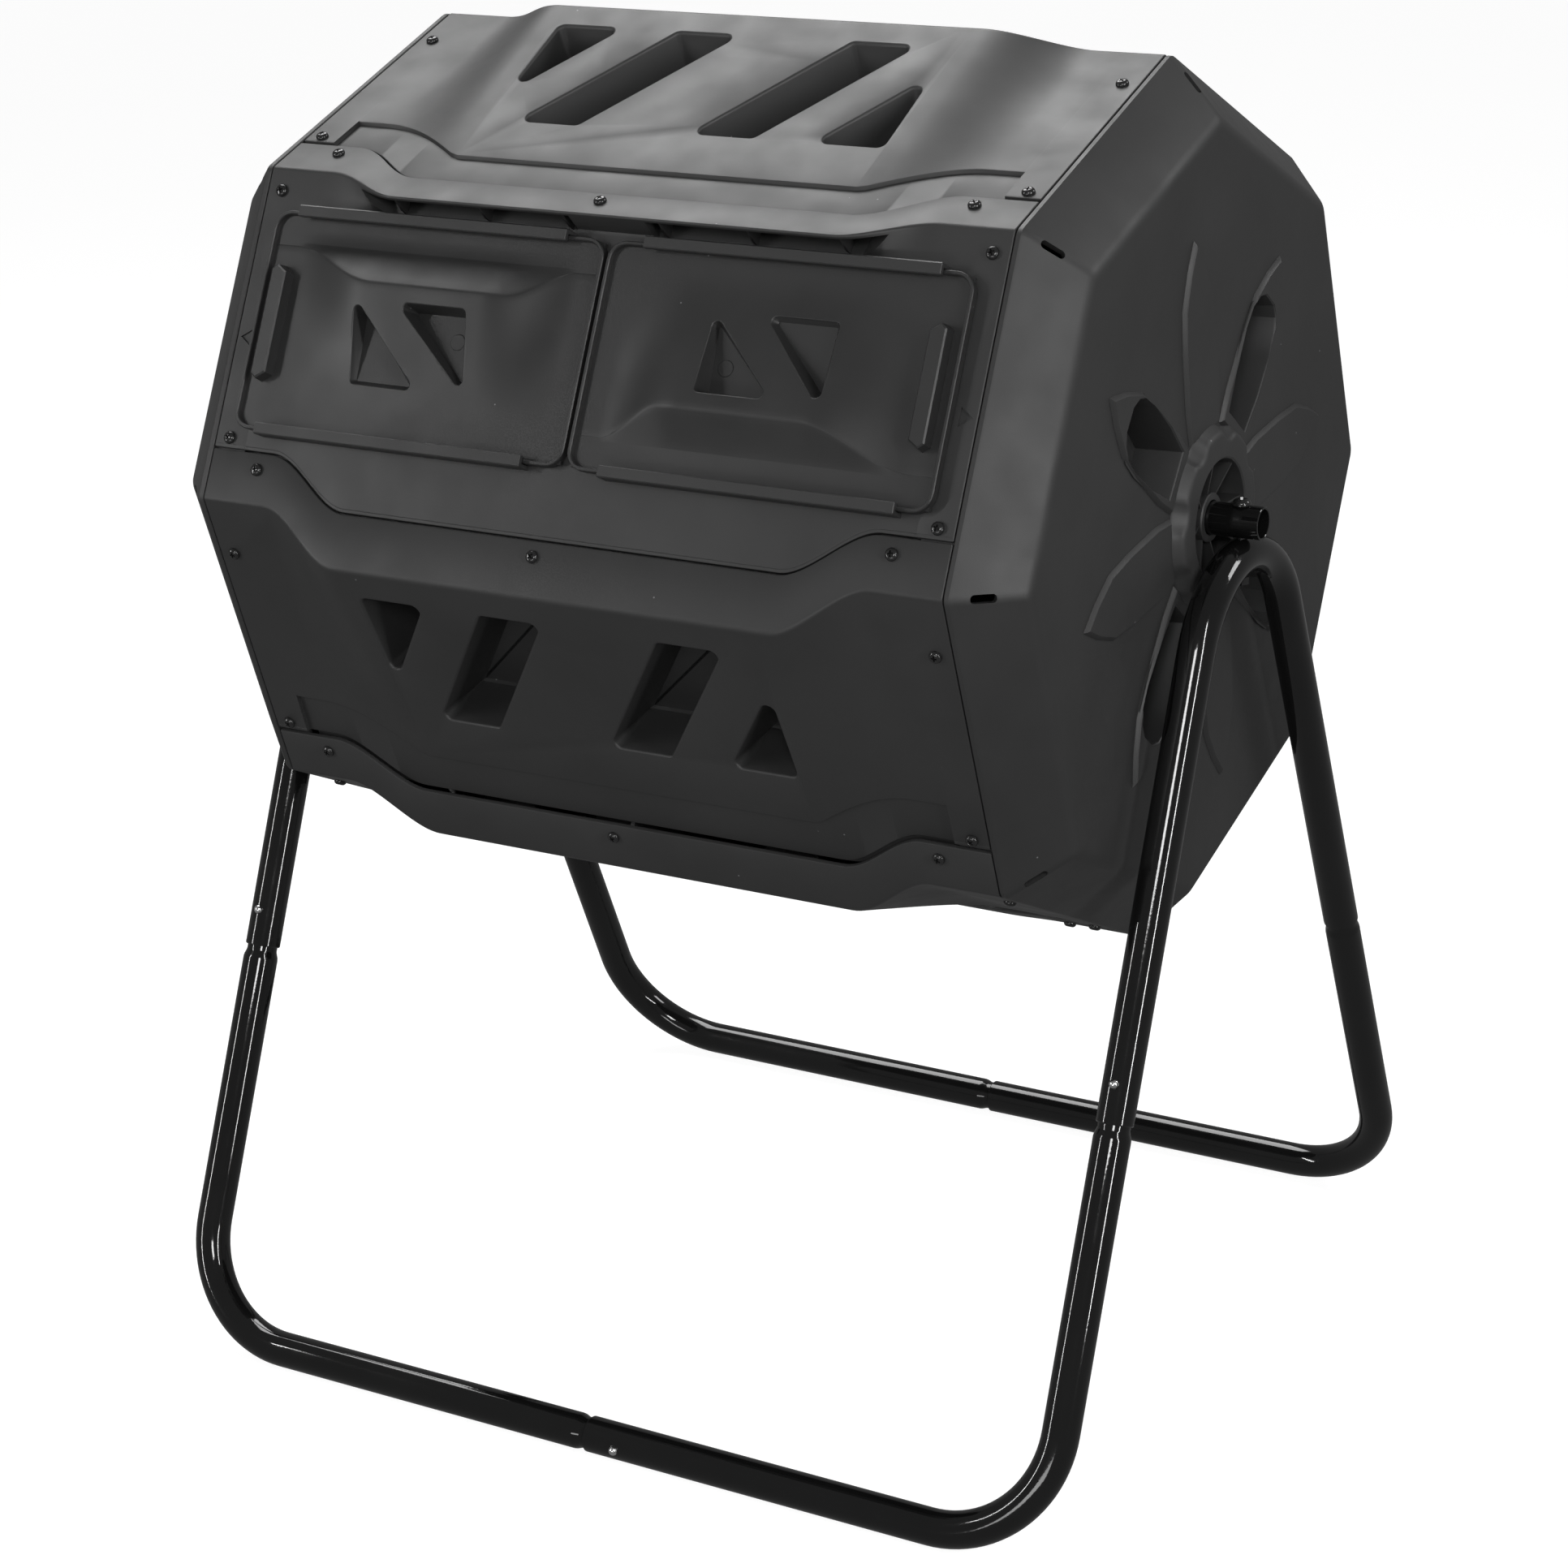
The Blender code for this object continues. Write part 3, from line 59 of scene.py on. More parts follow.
# %% Shared sizes
AXLE = Vector((0, 0, 0.6215))
REST_TURN = math.radians(-4.1)
STEP = math.tau / 8
CORNER_RADIUS = 0.2965
SIDE_WIDTH = 2 * CORNER_RADIUS * math.sin(STEP / 2)
FLAT_RADIUS = CORNER_RADIUS * math.cos(STEP / 2)
HALF_LENGTH = 0.2765
WALL = 0.003
print("side width", round(SIDE_WIDTH, 4), "flat radius", round(FLAT_RADIUS, 4))

# %% [markdown]
# ## Placing things on a panel
# One helper smooths a step, two give points on a panel and on the side above it, and one turns a
# finished panel about the axle to its own side of the drum.

# %% Helpers for places
def ease(value):
    value = min(1.0, max(0.0, value))
    return value * value * (3 - 2 * value)


def place(x, down, out):
    return Vector((x, SIDE_WIDTH / 2 - down, FLAT_RADIUS + out))


def on_side_above(distance, out=0.0):
    """(down, out) of a point on the plane of the side above, past the corner."""
    sine, cosine = math.sin(STEP), math.cos(STEP)
    return distance * cosine - out * sine, distance * sine + out * cosine


def side_matrix(k):
    return Matrix.Translation(AXLE) @ Matrix.Rotation((k + 0.5) * STEP + REST_TURN, 4, "X")


print("the panel on top of the drum spans", place(0, 0, 0).y, "to", place(0, SIDE_WIDTH, 0).y)

# %% [markdown]
# ## Small helpers
# Most pieces here are lofts: a row of outlines with the same number of points, skinned with quads.
# Blender's Screw and Bevel tools could make some of them, but a loft keeps full control of where
# each edge softens, and it gives clean quads that shade well.

# %% Helpers for meshes
def added(name, data):
    item = bpy.data.objects.new(name, data)
    bpy.context.scene.collection.objects.link(item)
    return item


def plain_copy(item, name):
    """The item's mesh with its curves or modifiers applied. The item itself goes."""
    bpy.context.view_layer.update()
    graph = bpy.context.evaluated_depsgraph_get()
    mesh = bpy.data.meshes.new_from_object(item.evaluated_get(graph))
    mesh.name = name
    bpy.data.objects.remove(item, do_unlink=True)
    return mesh


def finish_mesh(work, name, angle=32, weld=True):
    if weld:
        bmesh.ops.remove_doubles(work, verts=work.verts, dist=1e-6)
    bmesh.ops.recalc_face_normals(work, faces=work.faces)
    mesh = bpy.data.meshes.new(name)
    work.to_mesh(mesh)
    work.free()
    mesh.shade_smooth()
    mesh.set_sharp_from_angle(angle=math.radians(angle))
    return mesh


def add_loft(work, rings, closed=True):
    """Skins rings of points into the bmesh, with both ends filled."""
    made = [[work.verts.new(point) for point in ring] for ring in rings]
    count = len(made[0])
    for near, far in zip(made, made[1:]):
        for i in range(count):
            j = (i + 1) % count
            work.faces.new((near[i], near[j], far[j], far[i]))
    if closed:
        work.faces.new(made[0])
        work.faces.new(made[-1])


def loft(name, rings):
    work = bmesh.new()
    add_loft(work, rings)
    return finish_mesh(work, name)


def joined(name, meshes, angle=32):
    work = bmesh.new()
    for mesh in meshes:
        work.from_mesh(mesh)
    return finish_mesh(work, name, angle, weld=False)


print("lofts ready")

# %% [markdown]
# ## Carving
# Pockets and openings are cut by Booleans. The result becomes a plain mesh straight away, so that
# the tools can go.

# %% Helper for carving
def carved(mesh, steps, angle=32):
    """Applies Boolean steps, given as (operation, mesh), and returns the new mesh."""
    blank = added("blank", mesh)
    tools = []
    for operation, tool_mesh in steps:
        modifier = blank.modifiers.new("carve", "BOOLEAN")
        modifier.operation = operation
        modifier.object = added("tool", tool_mesh)
        modifier.solver = "EXACT"
        tools.append(modifier.object)
    result = plain_copy(blank, mesh.name)
    for tool in tools:
        bpy.data.objects.remove(tool, do_unlink=True)
    result.shade_smooth()
    result.set_sharp_from_angle(angle=math.radians(angle))
    return result


print("carving ready")

# %% [markdown]
# ## Putting a piece in the scene
# Every piece rides on a body of the frame and moves with it. It names its finish slot and the plain
# solids that it replaces.

# %% Helper for pieces
def piece(name, mesh, body, material, matrix=None, replaces=()):
    """Puts a mesh in the scene as a named piece that rides on a body of the frame."""
    item = added(name, mesh)
    if matrix is not None:
        item.matrix_world = matrix
    if not mesh.materials:
        mesh.materials.append(material)
    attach(item, body)
    if replaces:
        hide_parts(*replaces)


# %% [markdown]
# ## Rounding and growing outlines
# One helper turns the corners of a flat outline into short arcs, and the other moves an outline in
# or out, for walls, drafts and small chamfers.

# %% Helpers for outlines
def soft_corner(before, corner, after, radius, pieces=5):
    """Points of a small arc that rounds one corner of an outline."""
    corner = Vector(corner)
    first = (Vector(before) - corner).normalized()
    last = (Vector(after) - corner).normalized()
    half = first.angle(last, math.pi) / 2
    if half > math.pi / 2 - 0.01:
        return [tuple(corner + first * radius * (0.1 - 0.2 * k / pieces)) for k in range(pieces + 1)]
    centre = corner + (first + last).normalized() * radius / math.sin(half)
    start = corner + first * radius / math.tan(half) - centre
    end = corner + last * radius / math.tan(half) - centre
    sweep = start.angle_signed(end)
    points = []
    for k in range(pieces + 1):
        arm = start.copy()
        arm.rotate(Matrix.Rotation(-sweep * k / pieces, 2))
        points.append(tuple(centre + arm))
    return points


def rounded(corners, radius, pieces=5):
    """An outline whose corners are short arcs."""
    outline = []
    for before, corner, after in zip(corners[-1:] + corners, corners, corners[1:] + corners[:1]):
        outline += soft_corner(before, corner, after, radius, pieces)
    return outline


def grown(outline, amount):
    """The outline moved outwards all round."""
    area = sum(a[0] * b[1] - b[0] * a[1] for a, b in zip(outline, outline[1:] + outline[:1]))
    side = 1 if area > 0 else -1
    moved = []
    least = 0.4                             # keeps a sharp corner from running far out
    for i, here in enumerate(outline):
        back = (Vector(here) - Vector(outline[i - 1])).normalized()
        ahead = (Vector(outline[(i + 1) % len(outline)]) - Vector(here)).normalized()
        normal = Vector((back.y + ahead.y, -back.x - ahead.x)).normalized()
        stretch = 1 / max(least, normal.dot(Vector((back.y, -back.x))))
        moved.append(tuple(Vector(here) + side * normal * amount * stretch))
    return moved


print("a rounded square has", len(rounded([(0, 0), (1, 0), (1, 1), (0, 1)], 0.1)), "points")

# %% [markdown]
# ## The camera
# A long lens from the front right, a little above the drum, shows the doors and one end together.

# %% Camera
camera_data = bpy.data.cameras.new("camera")
camera_data.lens = 84.84
camera_data.clip_end = 50
camera = added("camera", camera_data)
yaw, pitch, roll = math.radians(30.5), math.radians(20.06), math.radians(-1.79)
forward = Vector((-math.sin(yaw) * math.cos(pitch), math.cos(yaw) * math.cos(pitch), -math.sin(pitch)))
level = forward.cross(Vector((0, 0, 1))).normalized()
upright = level.cross(forward)
right = level * math.cos(roll) + upright * math.sin(roll)
up = upright * math.cos(roll) - level * math.sin(roll)
turned_to = Matrix((right, up, -forward)).transposed().to_4x4()
camera.matrix_world = Matrix.Translation((1.2568, -2.1506, 1.2954)) @ turned_to
bpy.context.scene.camera = camera
print("camera", [round(v, 3) for v in camera.location])

# %% [markdown]
# ## The finishes
# The drum is blow-moulded from charcoal polypropylene. Up close it has a fine spark-eroded grain, a
# faint cloudiness, and tiny pale flecks. All of it is made from noise in object space, so no
# unwrapping is needed. The stand has a smooth, glossy black powder coat with a faint orange peel.

# %% Finishes
def shader_of(name):
    material = bpy.data.materials.new(name)
    material.use_nodes = True
    tree = material.node_tree
    return material, tree, tree.nodes["Principled BSDF"]


def noise(tree, vector, scale, detail=3.0):
    node = tree.nodes.new("ShaderNodeTexNoise")
    node.inputs["Scale"].default_value = scale
    node.inputs["Detail"].default_value = detail
    tree.links.new(vector, node.inputs["Vector"])
    return node.outputs["Fac"]


def ramp(tree, value, stops):
    node = tree.nodes.new("ShaderNodeValToRGB")
    points = node.color_ramp.elements
    while len(points) < len(stops):
        points.new(0.5)
    for point, (at, colour) in zip(points, stops):
        point.position = at
        point.color = (*colour, 1.0) if not isinstance(colour, float) else (colour, colour, colour, 1.0)
    tree.links.new(value, node.inputs["Fac"])
    return node.outputs["Color"]


def blend_colours(tree, share, first, second):
    node = tree.nodes.new("ShaderNodeMix")
    node.data_type = "RGBA"
    tree.links.new(share, node.inputs[0])
    for socket, source in ((node.inputs[6], first), (node.inputs[7], second)):
        if isinstance(source, tuple):
            socket.default_value = (*source, 1.0)
        else:
            tree.links.new(source, socket)
    return node.outputs[2]


def bump(tree, height, strength, distance, below=None):
    node = tree.nodes.new("ShaderNodeBump")
    node.inputs["Strength"].default_value = strength
    node.inputs["Distance"].default_value = distance
    tree.links.new(height, node.inputs["Height"])
    if below is not None:
        tree.links.new(below, node.inputs["Normal"])
    return node.outputs["Normal"]


print("node helpers ready")

# %% [markdown]
# ## Moulded plastic
# Clouded colour, rare pale flecks from a Voronoi pattern, an uneven roughness, and two sizes of bump:
# the slight unevenness of the sheet and the fine grain of the mould.

# %% Moulded plastic
GRAIN, UNEVEN, FLECKS = 1500.0, 60.0, 70.0      # noise scales, per metre
FLECK_COLOUR = (0.16, 0.16, 0.165)


def moulded_plastic(name, dark, light, roughness):
    material, tree, shader = shader_of(name)
    spot = tree.nodes.new("ShaderNodeTexCoord").outputs["Object"]
    cloud = noise(tree, spot, 9.0, 4.0)
    colour = ramp(tree, cloud, [(0.35, dark), (0.65, light)])
    flecks = tree.nodes.new("ShaderNodeTexVoronoi")
    flecks.inputs["Scale"].default_value = FLECKS
    tree.links.new(spot, flecks.inputs["Vector"])
    dot = ramp(tree, flecks.outputs["Distance"], [(0.030, 1.0), (0.045, 0.0)])
    few = ramp(tree, flecks.outputs["Color"], [(0.72, 0.0), (0.74, 1.0)])
    both = tree.nodes.new("ShaderNodeMath")
    both.operation = "MULTIPLY"
    tree.links.new(dot, both.inputs[0])
    tree.links.new(few, both.inputs[1])
    colour = blend_colours(tree, both.outputs[0], colour, FLECK_COLOUR)
    tree.links.new(colour, shader.inputs["Base Color"])
    rough = ramp(tree, noise(tree, spot, 30.0), [(0.3, roughness - 0.04), (0.7, roughness + 0.05)])
    tree.links.new(rough, shader.inputs["Roughness"])
    soft = bump(tree, noise(tree, spot, UNEVEN, 2.0), 0.12, 0.0006)
    grain = bump(tree, noise(tree, spot, GRAIN, 2.0), 0.35, 0.00012, soft)
    tree.links.new(grain, shader.inputs["Normal"])
    return material


panel_plastic = moulded_plastic("panel_plastic", 0.019, 0.024, 0.50)
door_plastic = moulded_plastic("door_plastic", 0.015, 0.019, 0.46)
cap_plastic = moulded_plastic("cap_plastic", 0.018, 0.023, 0.52)
print("three plastics, with", len(panel_plastic.node_tree.nodes), "nodes each")

# %% [markdown]
# ## Coated and bare steel
# The tubes' powder coat is nearly black and very smooth, with a faint orange peel. Screws, bolts and
# buttons are small, so a slight tint and a fine bump are enough for them.

# %% Coated and bare steel
def coated_steel(name, colour, roughness):
    material, tree, shader = shader_of(name)
    spot = tree.nodes.new("ShaderNodeTexCoord").outputs["Object"]
    tint = ramp(tree, noise(tree, spot, 14.0), [(0.3, colour), (0.7, colour * 1.4)])
    tree.links.new(tint, shader.inputs["Base Color"])
    rough = ramp(tree, noise(tree, spot, 40.0), [(0.3, roughness), (0.7, roughness + 0.06)])
    tree.links.new(rough, shader.inputs["Roughness"])
    peel = bump(tree, noise(tree, spot, 420.0, 1.0), 0.10, 0.0002)
    tree.links.new(peel, shader.inputs["Normal"])
    return material


def plain_metal(name, colour, roughness, metallic):
    material, tree, shader = shader_of(name)
    spot = tree.nodes.new("ShaderNodeTexCoord").outputs["Object"]
    tint = ramp(tree, noise(tree, spot, 300.0), [(0.3, colour), (0.7, colour * 1.2)])
    tree.links.new(tint, shader.inputs["Base Color"])
    shader.inputs["Roughness"].default_value = roughness
    shader.inputs["Metallic"].default_value = metallic
    fine = bump(tree, noise(tree, spot, 900.0, 1.0), 0.08, 0.0001)
    tree.links.new(fine, shader.inputs["Normal"])
    return material


tube_coat = coated_steel("tube_coat", 0.004, 0.05)
screw_black = plain_metal("screw_black", 0.012, 0.18, 0.0)
bright_steel = plain_metal("bright_steel", 0.62, 0.22, 1.0)
print("finishes:", ", ".join(material.name for material in (tube_coat, screw_black, bright_steel)))

# %% [markdown]
# ## The stand
# Two upside-down V legs of 25 mm tube carry the axle. Each V plugs onto two L-shaped feet, and the
# feet plug into each other along the floor. A tube could be a curve with a bevel, and that is the
# quickest way here: the row of points follows straight runs and true arcs, and a point's own radius
# makes the neck where one tube slips into the next.

# %% Tubes
TUBE = 0.0125
PLUG = 0.0108
PLUG_LENGTH = 0.045
FOOT_BEND = 0.080
TUBE_LIP = 0.0007                           # how far a cut end is rounded in
TUBE_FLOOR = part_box("front_left_foot")[0].z + TUBE
LEG_X = 0.342
FOOT_Y = 0.305
LEG_CROSSING = 0.7165
JOINT = 0.2705
APEX = AXLE.z - 0.011 - 0.0003 - TUBE
FLAT_FLOOR = 0.01207                        # height of the frame's own floor tubes
LEG_LINE = Vector((0, FOOT_Y, -(LEG_CROSSING - FLAT_FLOOR))).normalized()


def leg_y(height):
    return FOOT_Y * (LEG_CROSSING - height) / (LEG_CROSSING - FLAT_FLOOR)


def arc(corner, toward_start, toward_end, radius, pieces):
    first, last = Vector(toward_start).normalized(), Vector(toward_end).normalized()
    half = first.angle(last) / 2
    centre = Vector(corner) + (first + last).normalized() * radius / math.sin(half)
    start = Vector(corner) + first * radius / math.tan(half) - centre
    end = Vector(corner) + last * radius / math.tan(half) - centre
    axis = start.cross(end).normalized()
    sweep = start.angle(end)
    return [centre + Matrix.Rotation(sweep * k / pieces, 3, axis) @ start for k in range(pieces + 1)]


def tube_mesh(name, points, radii):
    curve = bpy.data.curves.new(name, "CURVE")
    curve.dimensions = "3D"
    curve.bevel_depth = TUBE
    curve.bevel_resolution = 18
    curve.use_fill_caps = True
    spline = curve.splines.new("POLY")
    spline.points.add(len(points) - 1)
    for point, spot, radius in zip(spline.points, points, radii):
        point.co = (*spot, 1.0)
        point.radius = radius / TUBE
    work = bmesh.new()
    work.from_mesh(plain_copy(added(name, curve), name))
    return finish_mesh(work, name, 40)


LEAN = math.atan2(LEG_LINE.y, -LEG_LINE.z)
print("a leg leans", round(math.degrees(LEAN), 1), "degrees")

# %% [markdown]
# ## The two legs
# Each leg is one tube bent into a V. Its two straight runs are joined by an arc that touches both
# and passes just under the axle, so the arc's radius follows from the legs' lean.

# %% Legs
LEG_BEND = (LEG_CROSSING - APEX) / (1 / math.sin(LEAN) - 1)
for side, name in ((-1, "left"), (1, "right")):
    top = Vector((side * LEG_X, 0, LEG_CROSSING))
    bend = arc(top, (0, -LEG_LINE.y, LEG_LINE.z), LEG_LINE, LEG_BEND, 28)
    ends = [Vector((side * LEG_X, front * leg_y(JOINT), JOINT)) for front in (-1, 1)]
    nearest = ((ends[0], bend[0]), (ends[1], bend[-1]))
    lips = [point + (near - point).normalized() * 0.0008 for point, near in nearest]
    points = [ends[0], lips[0], *bend, lips[1], ends[1]]
    radii = [TUBE - TUBE_LIP, *[TUBE] * (len(points) - 2), TUBE - TUBE_LIP]
    piece(f"{name}_leg_tube", tube_mesh(f"{name}_leg", points, radii), "stand", tube_coat,
          replaces=[f"{name}_leg"])
print("leg bend radius", round(LEG_BEND, 4))

# %% [markdown]
# ## The four feet
# A foot goes up into a leg at one end and along the floor at the other. The left feet end in a neck
# that slips into the right ones. The neck is only a change of radius along the same row of points.

# %% Feet
NECK = ((0.003, PLUG), (0.0045, PLUG + 0.0003), (0.0075, TUBE - 0.0003), (0.0095, TUBE))
for side, side_name in ((-1, "left"), (1, "right")):
    for front, front_name in ((-1, "front"), (1, "rear")):
        down = Vector((0, front * LEG_LINE.y, LEG_LINE.z))
        mouth = Vector((side * LEG_X, front * leg_y(JOINT), JOINT))
        corner = Vector((side * LEG_X, front * FOOT_Y, TUBE_FLOOR))
        along = Vector((-side, 0, 0))
        middle = Vector((0, front * FOOT_Y, TUBE_FLOOR))
        points = [mouth - down * PLUG_LENGTH] + [mouth + down * at for at, _ in NECK]
        radii = [PLUG] + [radius for _, radius in NECK]
        points += arc(corner, -down, along, FOOT_BEND, 24)
        radii += [TUBE] * 25
        if side < 0:
            points += [middle - along * at for at, _ in reversed(NECK)]
            points.append(middle + along * PLUG_LENGTH)
            radii += [radius for _, radius in reversed(NECK)] + [PLUG]
        else:
            points += [middle - along * 0.0008, middle]
            radii += [TUBE, TUBE - TUBE_LIP]
        name = f"{front_name}_{side_name}_foot"
        piece(name + "_tube", tube_mesh(name, points, radii), "stand", tube_coat,
              replaces=[name])
print("each foot reaches", PLUG_LENGTH, "into its leg")

# %% [markdown]
# ## Axle, bolts, nuts and snap buttons
# These are turned shapes: a half outline spun about an axis, as on a lathe.

# %% Turned pieces
def turned(name, profile, sides=32, angle=32):
    """Spins (radius, height) points about Z. A radius of zero makes a pole."""
    work = bmesh.new()
    rings = []
    for radius, height in profile:
        if radius < 1e-7:
            rings.append([work.verts.new((0, 0, height))])
            continue
        ring = []
        for k in range(sides):
            at = math.tau * k / sides
            ring.append(work.verts.new((radius * math.cos(at), radius * math.sin(at), height)))
        rings.append(ring)
    if len(rings[0]) > 1 and len(rings[-1]) > 1:
        rings.append(rings[0])
    for near, far in zip(rings, rings[1:]):
        for i in range(sides):
            j = (i + 1) % sides
            if len(near) == 1:
                work.faces.new((near[0], far[j], far[i]))
            elif len(far) == 1:
                work.faces.new((near[i], near[j], far[0]))
            else:
                work.faces.new((near[i], near[j], far[j], far[i]))
    return finish_mesh(work, name, angle)


print("turning ready")

# %% [markdown]
# ## Screw heads
# A pan head is a low dome with a cross punched into it. The punch tapers, so it is a loft between a
# wide cross at the top and a narrow one at the bottom.

# %% Screws and bolts
def cross_recess(size, top, depth):
    rings = []
    for reach, width, height in ((size * 1.05, size * 0.30, top), (size * 0.62, size * 0.16, top - depth)):
        arm = [(reach, -width), (reach, width), (width, width), (width, reach)]
        arm += [(-width, reach), (-width, width), (-reach, width), (-reach, -width)]
        arm += [(-width, -width), (-width, -reach), (width, -reach), (width, -width)]
        rings.append([(x, y, height) for x, y in arm])
    return loft("cross", rings)


def pan_head(name, radius, height, shank, length):
    dome = [(0.0, height)]
    for k in range(1, 7):
        at = math.pi / 2 * k / 6
        dome.append((radius * (0.35 + 0.65 * math.sin(at)), height * (0.18 + 0.82 * math.cos(at))))
    profile = dome + [(radius, 0.0), (shank, 0.0), (shank, -length + 0.001), (0.0, -length)]
    head = turned(name, profile, 24)
    return carved(head, [("DIFFERENCE", cross_recess(radius * 0.52, height + 0.0005, height * 0.85))], 25)


BOLT_HEAD = 0.0042
screw = pan_head("panel_screw", 0.0043, 0.0028, 0.0018, 0.0110)
bolt = pan_head("axle_bolt", 0.0062, BOLT_HEAD, 0.0030, 0.055)
for side, name in ((-1, "left"), (1, "right")):
    head_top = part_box(f"{name}_axle_bolt")[1].z
    seat = Matrix.Translation((side * LEG_X, 0, head_top - BOLT_HEAD)) @ Matrix.Rotation(0.4, 4, "Z")
    piece(f"{name}_axle_bolt_piece", bolt, "stand", screw_black, seat, [f"{name}_axle_bolt"])
    nodes[f"{name}_axle_nut"].data.materials.clear()
    nodes[f"{name}_axle_nut"].data.materials.append(screw_black)
print("screw faces:", len(screw.polygons))

# %% [markdown]
# ## The axle
# The axle is a straight tube with its cut ends slightly broken. A tube could be a cylinder with a
# Solidify modifier, but turning its outline gives the small chamfers at no extra cost.

# %% Axle
AXLE_OUT, AXLE_IN, AXLE_END, CHAMFER = 0.0110, 0.0095, 0.3575, 0.0003
half_profile = [(AXLE_IN, AXLE_END - CHAMFER), (AXLE_IN + CHAMFER, AXLE_END),
                (AXLE_OUT - CHAMFER, AXLE_END), (AXLE_OUT, AXLE_END - CHAMFER)]
axle_profile = half_profile + [(radius, -x) for radius, x in reversed(half_profile)]
axle = turned("axle", axle_profile, 48)
piece("axle_tube_piece", axle, "stand", tube_coat,
      Matrix.Translation(AXLE) @ Matrix.Rotation(math.pi / 2, 4, "Y"), ["axle_tube"])
print("axle length", 2 * AXLE_END)

# %% [markdown]
# ## Snap buttons
# A sprung steel button locks each joint of the stand. Each is a small turned dome that rides on its
# own body, since it can be pressed in.

# %% Snap buttons
dome = [(0.0, TUBE + 0.0032)]
for k in range(1, 7):
    at = math.pi / 2 * k / 6
    dome.append((0.0033 * math.sin(at), TUBE + 0.0002 + 0.0030 * math.cos(at)))
skirt = [(0.0033, 0.0070), (0.0045, 0.0070), (0.0045, 0.0058), (0.0, 0.0058)]
button = turned("snap_button", dome + skirt, 24)
for front, front_name in ((-1, "front"), (1, "rear")):
    out = Vector((0, -front * LEG_LINE.z, LEG_LINE.y))
    height = JOINT - LEG_LINE.z * 0.026
    for side, side_name in ((-1, "left"), (1, "right")):
        name = f"{front_name}_{side_name}_leg_button"
        spin = out.to_track_quat("Z", "X").to_matrix().to_4x4()
        piece(name + "_piece", button, name, bright_steel,
              Matrix.Translation((side * LEG_X, front * leg_y(height), height)) @ spin, [name])
    name = f"{front_name}_floor_button"
    spin = Vector((0, front, 0)).to_track_quat("Z", "X").to_matrix().to_4x4()
    piece(name + "_piece", button, name, bright_steel,
          Matrix.Translation((0.026, front * FOOT_Y, TUBE_FLOOR)) @ spin, [name])
print("stand dressed")

# %% [markdown]
# ## The seven side panels
# A panel is one moulding with two parts: a narrow strip that laps over the panel above, and a broad
# face that swells out in the middle. The strip's edge, the corner line and the lower step all follow
# the same S-curve near each end. The face carries four deep slanted pockets. A subdivision surface
# would round everything alike, so the section is drawn point by point with its own small radii, and
# lofted along the drum. The pockets are cut with flared tools, which leaves a soft lip.

# %% Panel section
FLANGE, FLANGE_DROP = 0.0345, 0.0325
SIDE_SWELL, DOOR_SWELL = 0.035, 0.025       # how far down the corner line drops in the middle
FACE_DROP, END_RISE = 0.0335, 0.033         # the broad face ends this far above the strip below
CURVE_OUTER, CURVE_INNER = 0.228, 0.163
LIP_OUTER, TONGUE_OUTER = 0.2515, 0.2465


def share_of(x):
    return ease((CURVE_OUTER - abs(x)) / (CURVE_OUTER - CURVE_INNER))


def strip_edge(x):
    return -FLANGE + FLANGE_DROP * share_of(x)


def face_end(x, gap):
    if abs(x) > LIP_OUTER:
        return SIDE_WIDTH + strip_edge(x) - gap - 0.0025
    share = min(1.0, max(0.0, (CURVE_OUTER - abs(x)) / (CURVE_OUTER - 0.153)))
    return SIDE_WIDTH - FLANGE - FACE_DROP + END_RISE * (1 - math.cos(share * math.pi / 2))


def lower_edge(x, sink, gap, step):
    """The face's end, the sunk lip, the tongue under the next strip, and back along the inside."""
    top = face_end(x, gap) if step else SIDE_WIDTH + strip_edge(x) - gap - 0.0025
    end = SIDE_WIDTH + strip_edge(x) - gap
    reach = 0.0006 if abs(x) > TONGUE_OUTER else 0.024 - 0.0215 * share_of(x)
    if abs(x) > LIP_OUTER:
        sink = 0.0
    low, deep = 0.0064, 0.0090
    if abs(x) > LIP_OUTER:
        low, deep, reach = 0.0022, 0.0030, 0.0002
    slope = min(0.0006, sink / 3 + 0.0001)
    return [(top - slope * 2, 0), (top, -slope * 0.5), (top + slope, -sink * 0.5),
            (top + slope * 1.6, -sink + slope * 0.3), (top + slope * 3, -sink),
            (end - 0.0008, -sink), (end - 0.0002, -sink - 0.0003), (end, -sink - 0.0010),
            (end + 0.0001, -low), (end + reach, -low), (end + reach, -deep), (end - 0.0030, -deep),
            (end - 0.0034, -sink - WALL), (top - 0.0022, -WALL)]


def strip_lip(edge):
    """The strip's free edge, with a small radius."""
    return [on_side_above(edge, -0.0010), on_side_above(edge + 0.0003, -0.0003), on_side_above(edge + 0.0010)]


def side_section(x):
    share = share_of(x)
    crease = SIDE_SWELL * share
    lower = lower_edge(x, 0.003, 0.0028, True)
    edge = on_side_above(strip_edge(x))
    corner = on_side_above(crease)
    points = strip_lip(strip_edge(x))
    points += soft_corner(edge, corner, lower[0], 0.004 + 0.002 * share, 6)
    points += lower
    inset = WALL * math.tan(STEP / 2)
    points += [on_side_above(crease - inset, -WALL), on_side_above(strip_edge(x), -WALL)]
    return points


def stations(inner):
    half = [*inner, 0.1500, 0.1565]
    half += [CURVE_INNER + (CURVE_OUTER - CURVE_INNER) * k / 22 for k in range(23)]
    half += [0.237, TONGUE_OUTER, TONGUE_OUTER + 0.0015]
    half += [LIP_OUTER - 0.0008, LIP_OUTER - 0.0002, LIP_OUTER + 0.0002]
    half += [HALF_LENGTH - 0.0006, HALF_LENGTH]
    return [-x for x in reversed(half)] + half


